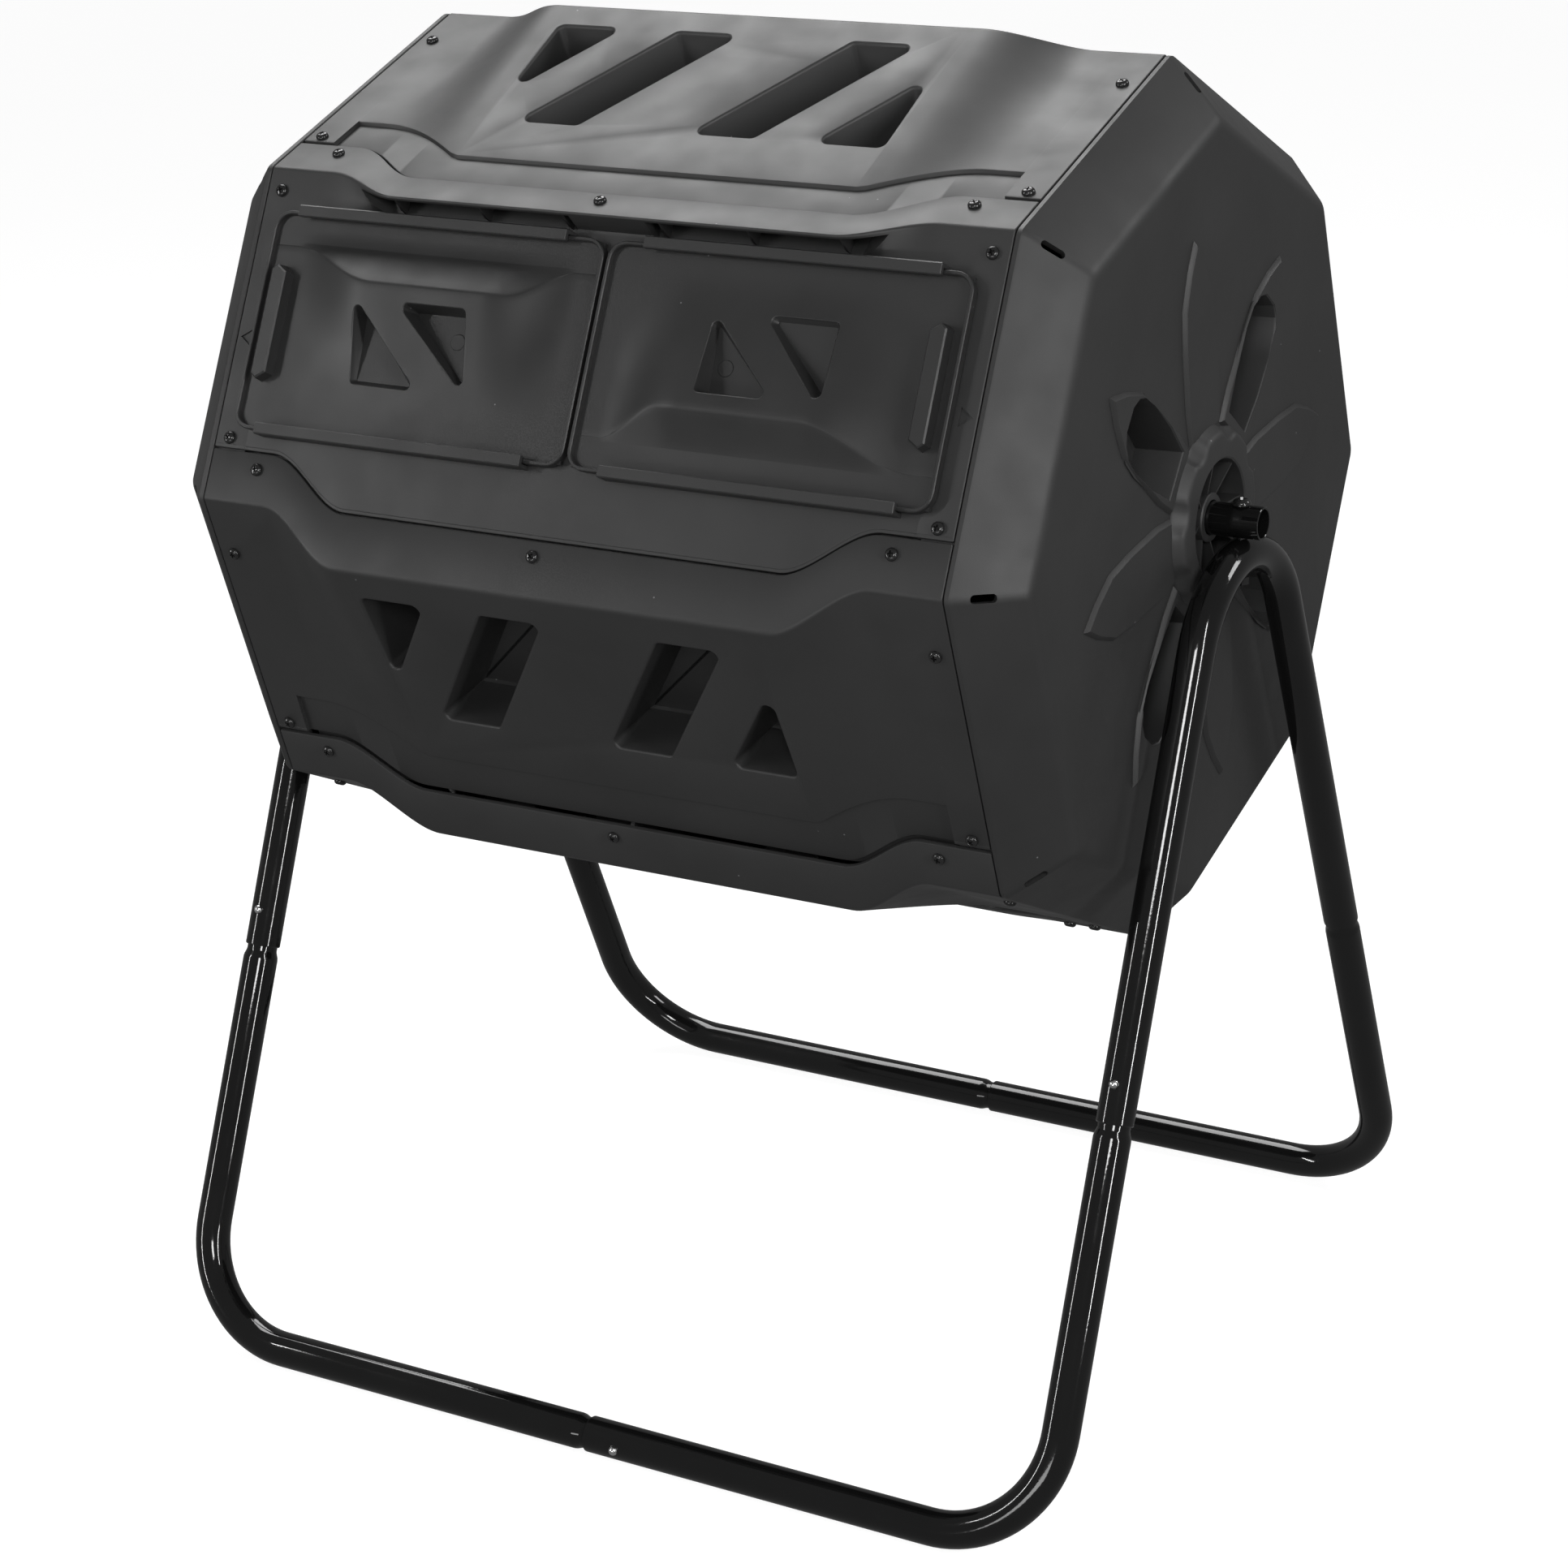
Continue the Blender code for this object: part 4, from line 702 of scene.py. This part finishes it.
def panel_loft(name, section, inner=()):
    rings = []
    for x in stations(inner):
        points = section(x)
        if abs(x) > HALF_LENGTH - 0.0001:
            points = grown(points, -0.0004)
        rings.append([place(x, *point) for point in points])
    return loft(name, rings)


print("a panel is lofted from", len(stations(())), "sections")

# %% [markdown]
# ## The four pockets
# Two slots and two triangles let fingers grip the drum and turn it. They could be modelled into the
# loft, but a Boolean with a flared block is simpler: it leaves a sloping lip wherever the block meets
# the swollen face.

# %% Pockets of a side panel
def pocket_outlines():
    lines = (0.0435, 0.090, 0.135)
    slant = 0.665
    middle, top, bottom, edge = 0.100, 0.048, 0.152, 0.1495

    def on_line(offset, down):
        return offset - slant * (down - middle), down

    def meets(offset, x):
        return x, middle + (offset - x) / slant

    shapes = [[(-edge, top), on_line(-lines[2], top), meets(-lines[2], -edge)]]
    for near, far in ((-lines[1], -lines[0]), (lines[0], lines[1])):
        shapes.append([on_line(near, top), on_line(far, top), on_line(far, bottom), on_line(near, bottom)])
    shapes.append([(edge, bottom), on_line(lines[2], bottom), meets(lines[2], edge)])
    return [rounded(shape, 0.0050, 5) for shape in shapes]


def face_height(down):
    start = SIDE_SWELL * math.cos(STEP)
    end = SIDE_WIDTH - FLANGE - FACE_DROP + END_RISE
    return start * (end - down) / (end - start)


def flared_tool(outline, depth, draft, lip):
    """A tapering block whose mouth flares like a rounded lip."""
    rings = [[place(*p, face_height(p[1]) + 0.004) for p in grown(outline, lip * 1.25)]]
    for degrees in (12, 32, 52, 72, 90):
        at = math.radians(degrees)
        ring = grown(outline, lip * (1 - math.sin(at)))
        rings.append([place(*p, face_height(p[1]) - lip * (1 - math.cos(at))) for p in ring])
    rings.append([place(*p, face_height(p[1]) - depth + 0.002) for p in grown(outline, -draft)])
    rings.append([place(*p, face_height(p[1]) - depth) for p in grown(outline, -draft - 0.0015)])
    return loft("pocket_tool", rings)


def add_pockets(panel):
    walls, tools = [], []
    for outline in pocket_outlines():
        wall = grown(outline, 0.0026)
        narrow = grown(outline, -0.0025)
        walls.append(("UNION", loft("pocket_wall", [
            [place(x, down, face_height(down) - 0.0015) for x, down in wall],
            [place(x, down, face_height(down) - 0.0445) for x, down in narrow]])))
        tools.append(("DIFFERENCE", flared_tool(outline, 0.042, 0.005, 0.0022)))
    return carved(panel, walls + tools, 30)


side_panel = add_pockets(panel_loft("side_panel", side_section))
SIDES = ("top_front_panel", "door_panel", "front_panel", "bottom_front_panel", "bottom_rear_panel",
         "rear_panel", "rear_upper_panel", "top_rear_panel")
for k, name in enumerate(SIDES):
    if k != 1:
        piece(name + "_moulding", side_panel, "drum", panel_plastic, side_matrix(k), [name])
print("side panel faces:", len(side_panel.polygons))

# %% [markdown]
# ## The door panel
# The eighth side carries the doors. Its strip ends in a hood that throws rain clear of the openings,
# with a dark groove and thin ribs under it. Below the hood lie two openings and four angle rails
# that hold the doors' edges. The rails are simple angles, so they are lofted and joined on.

# %% Door panel section
def door_section(x):
    """Strip, hood lip, the hood's solid front down to the flat, and the lower edge."""
    share = share_of(x)
    crease = DOOR_SWELL * share
    edge = on_side_above(strip_edge(x))
    corner = on_side_above(crease)
    foot = (0.0245, 0.0)
    points = strip_lip(strip_edge(x))
    points += soft_corner(edge, corner, foot, 0.0012 + 0.0030 * (1 - share), 5)
    points += [(0.0235, 0.0003 * share), foot, (0.0260, 0.0)]
    points += lower_edge(x, 0.0006, 0.0012, False)
    inside = -WALL * math.tan(STEP / 2) - 0.002 * share
    sink = 0.007 * share
    points += [(0.0275, -WALL), (0.0265, -sink - WALL), (0.0085, -sink - WALL),
               on_side_above(inside, -WALL - 0.001 * share), on_side_above(strip_edge(x), -WALL)]
    return points


def hood_cavity(side):
    """The dark groove under the lip. Its outer end slants in from the lip to the flat."""
    lip = on_side_above(0.0262, -0.0030)
    inner = on_side_above(0.0035, -0.0030)
    section = [lip, inner, (0.0080, -0.0062), (0.0236, -0.0062), (0.0241, 0.0), (0.0300, 0.0060)]
    near = [place(side * 0.0285, *p) for p in section]
    reach = [0.2060, 0.1900, 0.1800, 0.1765, 0.1775, 0.1860]
    far = [place(side * x, *p) for x, p in zip(reach, section)]
    return loft("hood_cavity", [near, far])


def angle_rail(side, at_top):
    """An L-shaped rail whose lip laps over the door's rim, with small radii on its outer edges."""
    sign = 1 if at_top else -1
    wall = 0.029 if at_top else 0.1785
    back, tip = wall - sign * 0.0028, wall + sign * 0.0050
    section = [(back, -0.0015), (wall, -0.0015), (wall, 0.0084), (tip, 0.0084), (tip, 0.0114),
               (tip - sign * 0.0006, 0.0120), (back + sign * 0.0008, 0.0120), (back, 0.0112)]
    rings = []
    for x, shrink in ((0.0290, 0.0004), (0.0294, 0.0), (0.2386, 0.0), (0.2390, 0.0004)):
        rings.append([place(side * x, *p) for p in grown(section, -shrink)])
    return loft("angle_rail", rings)


def hood_rib(x):
    tip = on_side_above(0.021, -0.0015)
    section = [(0.004, -0.002), tip, (0.0215, 0.0), (0.0225, -0.006), (0.008, -0.006)]
    return loft("hood_rib", [[place(x + edge, *p) for p in section] for edge in (-0.0008, 0.0008)])


def arrow_mark(side):
    corners = [(side * 0.2735, 0.116), (side * 0.2645, 0.110), (side * 0.2645, 0.122)]
    return loft("arrow", [[place(*p, -0.0012) for p in corners], [place(*p, 0.002) for p in corners]])


print("the door panel's section has", len(door_section(0.0)), "points")

# %% [markdown]
# ## Rails, ribs and arrows
# Angle rails above and below each door hold it to the panel while it slides. Thin ribs stiffen the
# hood over the doors, and a sunk arrow at each end shows the way to slide. Rails and ribs are plain
# extrusions that sink a little into the panel, as the moulded ones grow out of it.

# %% Door panel
OPENING_X, OPENING_DOWN = (0.027, 0.238), (0.042, 0.163)


def opening_tool(side):
    left, right = sorted(side * x for x in OPENING_X)
    top, bottom = OPENING_DOWN
    outline = rounded([(left, top), (right, top), (right, bottom), (left, bottom)], 0.008, 4)
    return loft("opening", [[place(*p, -0.012) for p in outline], [place(*p, 0.012) for p in outline]])


door_panel = panel_loft("door_panel_shell", door_section, (0.026, 0.030))
openings = [("DIFFERENCE", tool(side)) for tool in (hood_cavity, arrow_mark, opening_tool) for side in (-1, 1)]
door_panel = carved(door_panel, openings, 30)
extras = [angle_rail(side, at_top) for side in (-1, 1) for at_top in (True, False)]
extras += [hood_rib(side * x) for x in (0.036, 0.100, 0.166) for side in (-1, 1)]
door_panel = joined("door_panel_full", [door_panel, *extras], 30)
piece("door_panel_moulding", door_panel, "drum", panel_plastic, side_matrix(1),
      ["door_panel"])
print("door panel faces:", len(door_panel.polygons))

# %% [markdown]
# ## The sliding doors
# Both doors are one moulding, the right one turned half round. A thin rim runs round the plate, a
# bar near the outer end takes the fingers, and the middle swells into a soft pyramid whose upper
# edge is scooped. The swell is a height field: rows of points follow the scooped edge, so the crest
# stays crisp while the flanks fade into the plate.

# %% Door height field
DOOR_INNER, DOOR_OUTER, DOOR_TOP, DOOR_BOTTOM = 0.0013, 0.2607, 0.0295, 0.1780
SWELL_INNER, SWELL_OUTER = 0.019, 0.241     # where the swell starts and ends along the drum
PLATE = 0.0034


def crest_line(reach):
    """How far down the crest lies, for a distance from the drum's middle."""
    return 0.0525 + 0.0220 * ease((SWELL_OUTER - reach) / 0.075) * ease((reach - SWELL_INNER) / 0.046)


def crest_height(reach):
    return 0.0150 * ease((SWELL_OUTER - reach) / 0.070) * ease((reach - SWELL_INNER) / 0.060)


def door_height(reach, down):
    """Height above the plate's back of the swollen face below the crest."""
    crest, peak = crest_line(reach), crest_height(reach)
    along = (down - crest) / (0.166 - crest)
    return PLATE + peak * (1 - ease(max(0.0, min(1.0, along)) ** 0.8))


def door_sheet():
    rim = 0.0024
    columns = [DOOR_INNER + rim + (DOOR_OUTER - DOOR_INNER - 2 * rim) * k / 130 for k in range(131)]
    work = bmesh.new()
    grid = []
    for reach in columns:
        crest = crest_line(reach)
        line = [(DOOR_TOP + rim, PLATE), (0.040, PLATE), (0.0500, PLATE)]
        peak = crest_height(reach)
        for share in (0.03, 0.2, 0.4, 0.6, 0.8, 0.94):
            line.append((0.0500 + (crest - 0.0500) * share, PLATE + peak * share ** 1.1))
        line.append((crest, PLATE + peak - 0.0002))
        line.append((crest + 0.0012, door_height(reach, crest + 0.0012)))
        for k in range(1, 31):
            down = crest + 0.0012 + (DOOR_BOTTOM - rim - crest - 0.0012) * k / 30
            line.append((down, door_height(reach, down)))
        grid.append([work.verts.new(place(-reach, down, out)) for down, out in line])
    back = [[work.verts.new(place(-reach, down, 0.0010)) for down in (DOOR_TOP + rim, DOOR_BOTTOM - rim)]
            for reach in (columns[0], columns[-1])]
    for near, far in zip(grid, grid[1:]):
        for i in range(len(near) - 1):
            work.faces.new((near[i], near[i + 1], far[i + 1], far[i]))
    work.faces.new([*grid[0], back[0][1], back[0][0]])
    work.faces.new([*grid[-1], back[1][1], back[1][0]])
    work.faces.new([column[0] for column in grid] + [back[1][0], back[0][0]])
    work.faces.new([column[-1] for column in grid] + [back[1][1], back[0][1]])
    work.faces.new([back[0][0], back[0][1], back[1][1], back[1][0]])
    return finish_mesh(work, "door_sheet", 30)


print("crest height at the middle of a door:", round(crest_height(0.131), 4))

# %% [markdown]
# ## Rim and grip
# The rim is a small section swept round the rounded plate. The grip is a bar whose sides lean in a
# little, as they must to leave a mould.

# %% Door rim and grip
def door_rim():
    corners = [(-DOOR_OUTER, DOOR_TOP), (-DOOR_INNER, DOOR_TOP)]
    corners += [(-DOOR_INNER, DOOR_BOTTOM), (-DOOR_OUTER, DOOR_BOTTOM)]
    outline = rounded(corners, 0.013, 7)
    section = [(0.0, 0.0010), (0.0, 0.0064), (-0.0005, 0.0070), (-0.0020, 0.0070), (-0.0025, 0.0064),
               (-0.0030, 0.0030), (-0.0080, 0.0030), (-0.0080, 0.0010)]
    work = bmesh.new()
    rings = [[place(*p, out) for p in grown(outline, inset)] for inset, out in section]
    add_loft(work, [*rings, rings[0]], closed=False)
    return finish_mesh(work, "door_rim", 30)


def door_grip():
    corners = [(-0.2515, 0.070), (-0.2465, 0.0665), (-0.2385, 0.0715)]
    corners += [(-0.2385, 0.1405), (-0.2465, 0.1455), (-0.2515, 0.142)]
    rings = [[place(*p, PLATE - 0.001) for p in corners],
             [place(*p, PLATE + 0.0080) for p in grown(corners, -0.0008)],
             [place(*p, PLATE + 0.0090) for p in grown(corners, -0.0018)]]
    return loft("door_grip", rings)


print("rim and grip ready")

# %% [markdown]
# ## Triangles in the doors
# Two triangular wells with soft lips are cut into the swell of each door, and one of them keeps the
# round mark of an ejector pin. The well is a Boolean with a flared block, so the lip follows the
# curved surface. The right door is the same mesh, turned half round about the door's middle.

# %% Doors
centre = Vector((-(DOOR_INNER + DOOR_OUTER) / 2, (DOOR_TOP + DOOR_BOTTOM) / 2))
triangles = ([(-0.046, -0.019), (-0.044, 0.036), (0.008, 0.036)],
             [(-0.012, -0.018), (0.042, -0.018), (0.044, 0.034)])
well_floor = PLATE - 0.0016
tools = []
for corners in triangles:
    outline = rounded([tuple(centre + Vector(p)) for p in corners], 0.0035, 4)
    rings = [[place(*p, door_height(-p[0], p[1]) + 0.004) for p in grown(outline, 0.0012)]]
    for degrees in (15, 40, 65, 90):
        at = math.radians(degrees)
        ring = grown(outline, 0.0010 * (1 - math.sin(at)))
        rings.append([place(*p, door_height(-p[0], p[1]) - 0.0010 * (1 - math.cos(at))) for p in ring])
    rings.append([place(*p, well_floor) for p in grown(outline, -0.0026)])
    tools.append(("DIFFERENCE", loft("triangle_tool", rings)))
profile = [(0.0, 0.0004), (0.0051, 0.0004), (0.0055, 0.0), (0.0055, -0.0005), (0.0, -0.0005)]
mark = turned("ejector_mark", profile, 40)
mark.transform(Matrix.Translation(place(centre.x + 0.031, centre.y + 0.001, well_floor)))
door = joined("door", [carved(door_sheet(), tools, 30), door_rim(), door_grip(), mark], 30)
middle = place(0, (DOOR_TOP + DOOR_BOTTOM) / 2, 0)
half_turn = Matrix.Translation(middle) @ Matrix.Rotation(math.pi, 4, "Z") @ Matrix.Translation(-middle)
for name, turn in (("left_door", Matrix()), ("right_door", half_turn)):
    piece(f"{name}_moulding", door, name, door_plastic, side_matrix(1) @ turn, [name])
print("door faces:", len(door.polygons))

# %% [markdown]
# ## The end caps
# Each end is a shallow eight-sided pan. Eight spear-shaped ridges spread from a scalloped hub, and
# every second one is pierced by a deep pocket. The pan is a loft of eight-sided rings with rounded
# corners, which changes to a circle at the hub. Ridges and pockets are added with Booleans, so they
# share one surface.

# %% Rings of the cap
CAP_START, CAP_FACE, FACE_RADIUS = 0.2773, 0.3176, 0.2577
PETAL_TURN = math.radians(11.8)             # how far the ridges are turned from the corners


def octagon_ring(radius, x, corner):
    """An eight-sided ring in the plane across the axle, with its corners rounded."""
    angles = [math.pi / 2 + k * STEP for k in range(8)]
    corners = [(radius * math.cos(at), radius * math.sin(at)) for at in angles]
    outline = rounded(corners, corner, 8)
    return [Vector((x, y, z)) for y, z in outline]


def circle_ring(radius, x):
    ring = []
    for p in octagon_ring(0.2, 0, 0.02):
        ring.append(Vector((x, *(Vector((p.y, p.z)).normalized() * radius))))
    return ring


def toward(angle, radius, across, x):
    sine, cosine = math.sin(angle), math.cos(angle)
    return Vector((x, radius * cosine - across * sine, radius * sine + across * cosine))


def cap_pan():
    slope = (Vector((CAP_FACE, FACE_RADIUS)) - Vector((CAP_START + 0.004, CORNER_RADIUS))).normalized()
    back = CAP_FACE - WALL
    inner = (FLAT_RADIUS - WALL - 0.0003) / math.cos(STEP / 2)
    rings = [octagon_ring(CORNER_RADIUS - 0.0006, CAP_START, 0.010),
             octagon_ring(CORNER_RADIUS, CAP_START + 0.0006, 0.010),
             octagon_ring(CORNER_RADIUS, CAP_START + 0.0034, 0.010)]
    rim = Vector((CAP_START + 0.004, CORNER_RADIUS)) + slope * 0.0012
    rings.append(octagon_ring(rim.y, rim.x, 0.010))
    for k in range(7):
        at = k / 6
        start = Vector((CAP_FACE, FACE_RADIUS)) - slope * 0.0060
        end = Vector((CAP_FACE, FACE_RADIUS - 0.0060))
        mid = Vector((CAP_FACE, FACE_RADIUS))
        spot = start * (1 - at) ** 2 + mid * 2 * at * (1 - at) + end * at ** 2
        rings.append(octagon_ring(spot.y, spot.x, 0.010))
    rings += [circle_ring(0.060, CAP_FACE), circle_ring(0.060, back),
              octagon_ring(FACE_RADIUS - 0.002, back, 0.009),
              octagon_ring(inner - 0.0032, CAP_START + 0.003, 0.008),
              octagon_ring(inner - 0.0032, 0.2535, 0.008),
              octagon_ring(inner, 0.2535, 0.009), octagon_ring(inner, CAP_START, 0.009)]
    work = bmesh.new()
    add_loft(work, [*rings, rings[0]], closed=False)
    return finish_mesh(work, "cap_pan", 24)


print("a cap reaches from", CAP_START, "to", CAP_FACE)

# %% [markdown]
# ## Ridges, pockets and vents
# Each spear is a stack of outlines that shrink upwards, which gives the ridge its sloping edge. The
# same helper makes the walls and the hollow of the pockets. A slot through each corner of the rim
# lets air in.

# %% Ridges, pockets and vents
def spear(half):
    return half + [(along, -across) for along, across in reversed(half) if across > 0]


RIDGE = spear([(0.058, 0.0225), (0.080, 0.0255), (0.120, 0.0252),
               (0.150, 0.0225), (0.172, 0.0120), (0.1895, 0.0)])
POCKET = spear([(0.069, 0.0165), (0.096, 0.0215), (0.126, 0.0230),
                (0.142, 0.0212), (0.1515, 0.0160), (0.1565, 0.0080)])
# Each stack gives how much the outline grows, and how far out from the cap's face it lies.
RIDGE_STACK = ((0, -0.0015), (0, 0.0002), (-0.0014, 0.0020), (-0.0026, 0.0029))
WALL_STACK = ((0.0028, 0.0010), (0.0010, -0.033))
HOLLOW_STACK = ((0.0012, 0.006), (0.0010, 0.0027), (0.0003, 0.0020), (0, 0.0010), (-0.0018, -0.030))


def spear_block(angle, outline, stack):
    rings = []
    for more, out in stack:
        ring = grown(outline, more) if more else outline
        rings.append([toward(angle, *p, CAP_FACE + out) for p in ring])
    return loft("spear", rings)


def cap_steps():
    angles = [math.pi / 2 + PETAL_TURN + k * STEP for k in range(8)]
    steps = [("UNION", spear_block(angle, RIDGE, RIDGE_STACK)) for angle in angles]
    steps += [("UNION", spear_block(angle, POCKET, WALL_STACK)) for angle in angles[1::2]]
    steps += [("DIFFERENCE", spear_block(angle, POCKET, HOLLOW_STACK)) for angle in angles[1::2]]
    for k in range(8):
        angle = math.pi / 2 + k * STEP
        rim = toward(angle, CORNER_RADIUS, 0, CAP_START + 0.004)
        face = toward(angle, FACE_RADIUS, 0, CAP_FACE)
        along = (face - rim).normalized()
        across = Vector((0, -math.sin(angle), math.cos(angle)))
        deep = along.cross(across).normalized()
        middle = rim.lerp(face, 0.42)
        slot = rounded([(-0.0085, -0.0028), (0.0085, -0.0028), (0.0085, 0.0028), (-0.0085, 0.0028)], 0.0026, 5)
        rings = [[middle + along * u + across * v + deep * reach for u, v in slot] for reach in (-0.012, 0.012)]
        steps.append(("DIFFERENCE", loft("vent", rings)))
    return steps


print("ridges:", 8, "pockets:", 4, "vents:", 8)

# %% [markdown]
# ## The hub
# The axle passes through a round hub with a scalloped edge and a ribbed recess. It is a turned shape
# whose outer radius dips between the ridges, so it is lofted from rings that are not quite round.

# %% Hub of the cap
def hub_meshes():
    sides = 96
    top = CAP_FACE + 0.010
    floor = top - 0.0393

    def scalloped(radius, x, depth):
        ring = []
        for k in range(sides):
            at = math.tau * k / sides
            wave = (at - math.pi / 2 - PETAL_TURN - STEP / 2) / STEP
            near = abs(wave - round(wave))
            ring.append(toward(at, radius - depth * ease((0.26 - near) / 0.18), 0, x))
        return ring

    # Each row is a radius, a place along the axle and, on the rim, the depth of the scallops.
    profile = [(0.0645, CAP_FACE - 0.003, 0.0), (0.0645, CAP_FACE + 0.0003, 0.0052),
               (0.0630, CAP_FACE + 0.0015, 0.0052), (0.0590, CAP_FACE + 0.0075, 0.0052),
               (0.0575, CAP_FACE + 0.0090, 0.0051), (0.0560, CAP_FACE + 0.0098, 0.0049), (0.0545, top, 0.0047)]
    for radius, x in ((0.0410, top), (0.0398, top - 0.0008), (0.0395, top - 0.0020), (0.0385, floor),
                      (0.0178, floor), (0.0165, top - 0.0075), (0.0158, top - 0.0066), (0.0120, top - 0.0066),
                      (0.0115, top - 0.0072), (0.0115, floor - 0.024), (0.0165, floor - 0.024),
                      (0.0165, floor - WALL), (0.0425, floor - WALL), (0.0425, CAP_FACE - 0.003)):
        profile.append((radius, x, 0.0))
    work = bmesh.new()
    rings = [scalloped(radius, x, depth) for radius, x, depth in profile]
    add_loft(work, [*rings, rings[0]], closed=False)
    hub = finish_mesh(work, "hub", 28)
    ribs = []
    for k in range(8):
        at = PETAL_TURN + k * STEP
        outline = [(0.015, floor - 0.001), (0.040, floor - 0.001), (0.040, top - 0.003), (0.015, top - 0.009)]
        rings = [[toward(at, radius, across, x) for radius, x in outline] for across in (-0.0008, 0.0008)]
        ribs.append(loft("hub_rib", rings))
    return [hub, *ribs]


cap = joined("end_cap", [carved(cap_pan(), cap_steps(), 24), *hub_meshes()], 26)
spin = Matrix.Translation(AXLE) @ Matrix.Rotation(REST_TURN, 4, "X")
mirrored = cap.copy()
mirrored.transform(Matrix.Scale(-1, 4, (1, 0, 0)))
mirrored.flip_normals()
for side_name, mesh in (("right", cap), ("left", mirrored)):
    piece(f"{side_name}_end_cap_moulding", mesh, "drum", cap_plastic, spin,
          [f"{side_name}_end_cap"])
nodes["divider"].data.materials.clear()
nodes["divider"].data.materials.append(cap_plastic)
print("cap faces:", len(cap.polygons))

# %% [markdown]
# ## The panel screws
# Every panel is held by four screws at its ends and three through its strip. They share one mesh,
# each turned by its own angle, because no two recesses line up on the real drum.

# %% Panel screws
above = Vector((0, math.sin(STEP), math.cos(STEP)))
STRIP_SCREWS = ((-0.238, -0.0234), (-0.0125, 0.0083), (0.238, -0.0234))
count = 0
for k, name in enumerate(SIDES):
    rows = (0.0155, 0.1845) if k == 1 else (0.0425, 0.1835)
    spots = [(place(x, down, 0), Vector((0, 0, 1))) for x in (-0.265, 0.265) for down in rows]
    for x, distance in STRIP_SCREWS:
        spots.append((place(x, *on_side_above(distance)), above))
    for number, (spot, direction) in enumerate(spots, 1):
        count += 1
        lean = direction.to_track_quat("Z", "X").to_matrix().to_4x4()
        head = Matrix.Translation(spot + direction * 0.0003) @ lean
        short = name.replace("_panel", "") if k != 1 else name
        cad = f"{short}_screw_{number}"
        piece(f"{name}_screw_piece_{number}", screw, "drum", screw_black,
              side_matrix(k) @ head @ Matrix.Rotation(count * 0.83, 4, "Z"), [cad] if cad in nodes else ())
print("screws:", count)

# %% [markdown]
# ## Floor and light
# A pale floor inside four pale walls, as in a product studio. Both glow only toward the camera, so
# that they leave the shading of the drum to the lights.

# %% Floor
AROUND = [(-12, -12), (12, -12), (12, 12), (-12, 12)]


def glowing(name, material_name, points, faces, strength):
    """A big plain surface of the studio that lights only the camera's view."""
    mesh = bpy.data.meshes.new(name)
    mesh.from_pydata(points, [], faces)
    item = added(name, mesh)
    material, tree, shader = shader_of(material_name)
    shader.inputs["Emission Color"].default_value = (1, 1, 1, 1)
    shader.inputs["Emission Strength"].default_value = strength
    mesh.materials.append(material)
    item.visible_diffuse = False
    item.visible_glossy = False
    return item, tree, shader


floor, tree, shader = glowing("floor", "pale_floor", [(x, y, 0) for x, y in AROUND], [(0, 1, 2, 3)], 0.91)
floor.location.z = -0.0005
shader.inputs["Roughness"].default_value = 0.7
spot = tree.nodes.new("ShaderNodeTexCoord").outputs["Object"]
tree.links.new(ramp(tree, noise(tree, spot, 0.8), [(0.3, 0.19), (0.7, 0.21)]), shader.inputs["Base Color"])
walls = [(i, (i + 1) % 4, (i + 1) % 4 + 4, i + 4) for i in range(4)]
backdrop, tree, shader = glowing("backdrop", "white_backdrop", [(x, y, z) for z in (-1, 14) for x, y in AROUND],
                                 walls, 1.0)
backdrop.visible_shadow = False
print("floor and four pale walls stand", 2 * AROUND[1][0], "apart")

# %% [markdown]
# ## Lights
# A broad light above and behind draws the top edges, and a lower one in front opens up the sides that
# lean inwards. The strips are narrow, so they show as thin lines in the glossy tubes.

# %% Lights
world = bpy.data.worlds.new("studio")
bpy.context.scene.world = world
world.use_nodes = True
world.node_tree.nodes["Background"].inputs["Color"].default_value = (1, 1, 1, 1)
world.node_tree.nodes["Background"].inputs["Strength"].default_value = 0.20


def soft_light(name, spot, target, width, height, power):
    data = bpy.data.lights.new(name, "AREA")
    data.shape = "RECTANGLE"
    data.size = width
    data.size_y = height
    data.energy = power
    item = added(name, data)
    item.location = spot
    item.rotation_euler = (Vector(target) - Vector(spot)).to_track_quat("-Z", "Y").to_euler()


soft_light("overhead", (-1.1, 1.1, 2.9), (0, 0.1, 0.7), 2.0, 1.4, 64)
soft_light("front_key", (1.5, -2.9, 2.0), (0, 0, 0.7), 0.7, 0.7, 32)
soft_light("low_fill", (0.2, -3.0, 0.25), (0, 0, 0.6), 1.6, 0.4, 13)
soft_light("right_rim", (2.2, 1.5, 2.2), (0.2, 0, 0.7), 0.8, 0.8, 18)
soft_light("right_strip", (2.5, -1.1, 1.3), (0.3, 0, 0.6), 0.12, 2.0, 34)
soft_light("left_strip", (-2.2, -2.2, 1.2), (0, 0, 0.5), 0.10, 2.0, 26)
bpy.context.scene.view_settings.view_transform = "Standard"
print("lights placed")
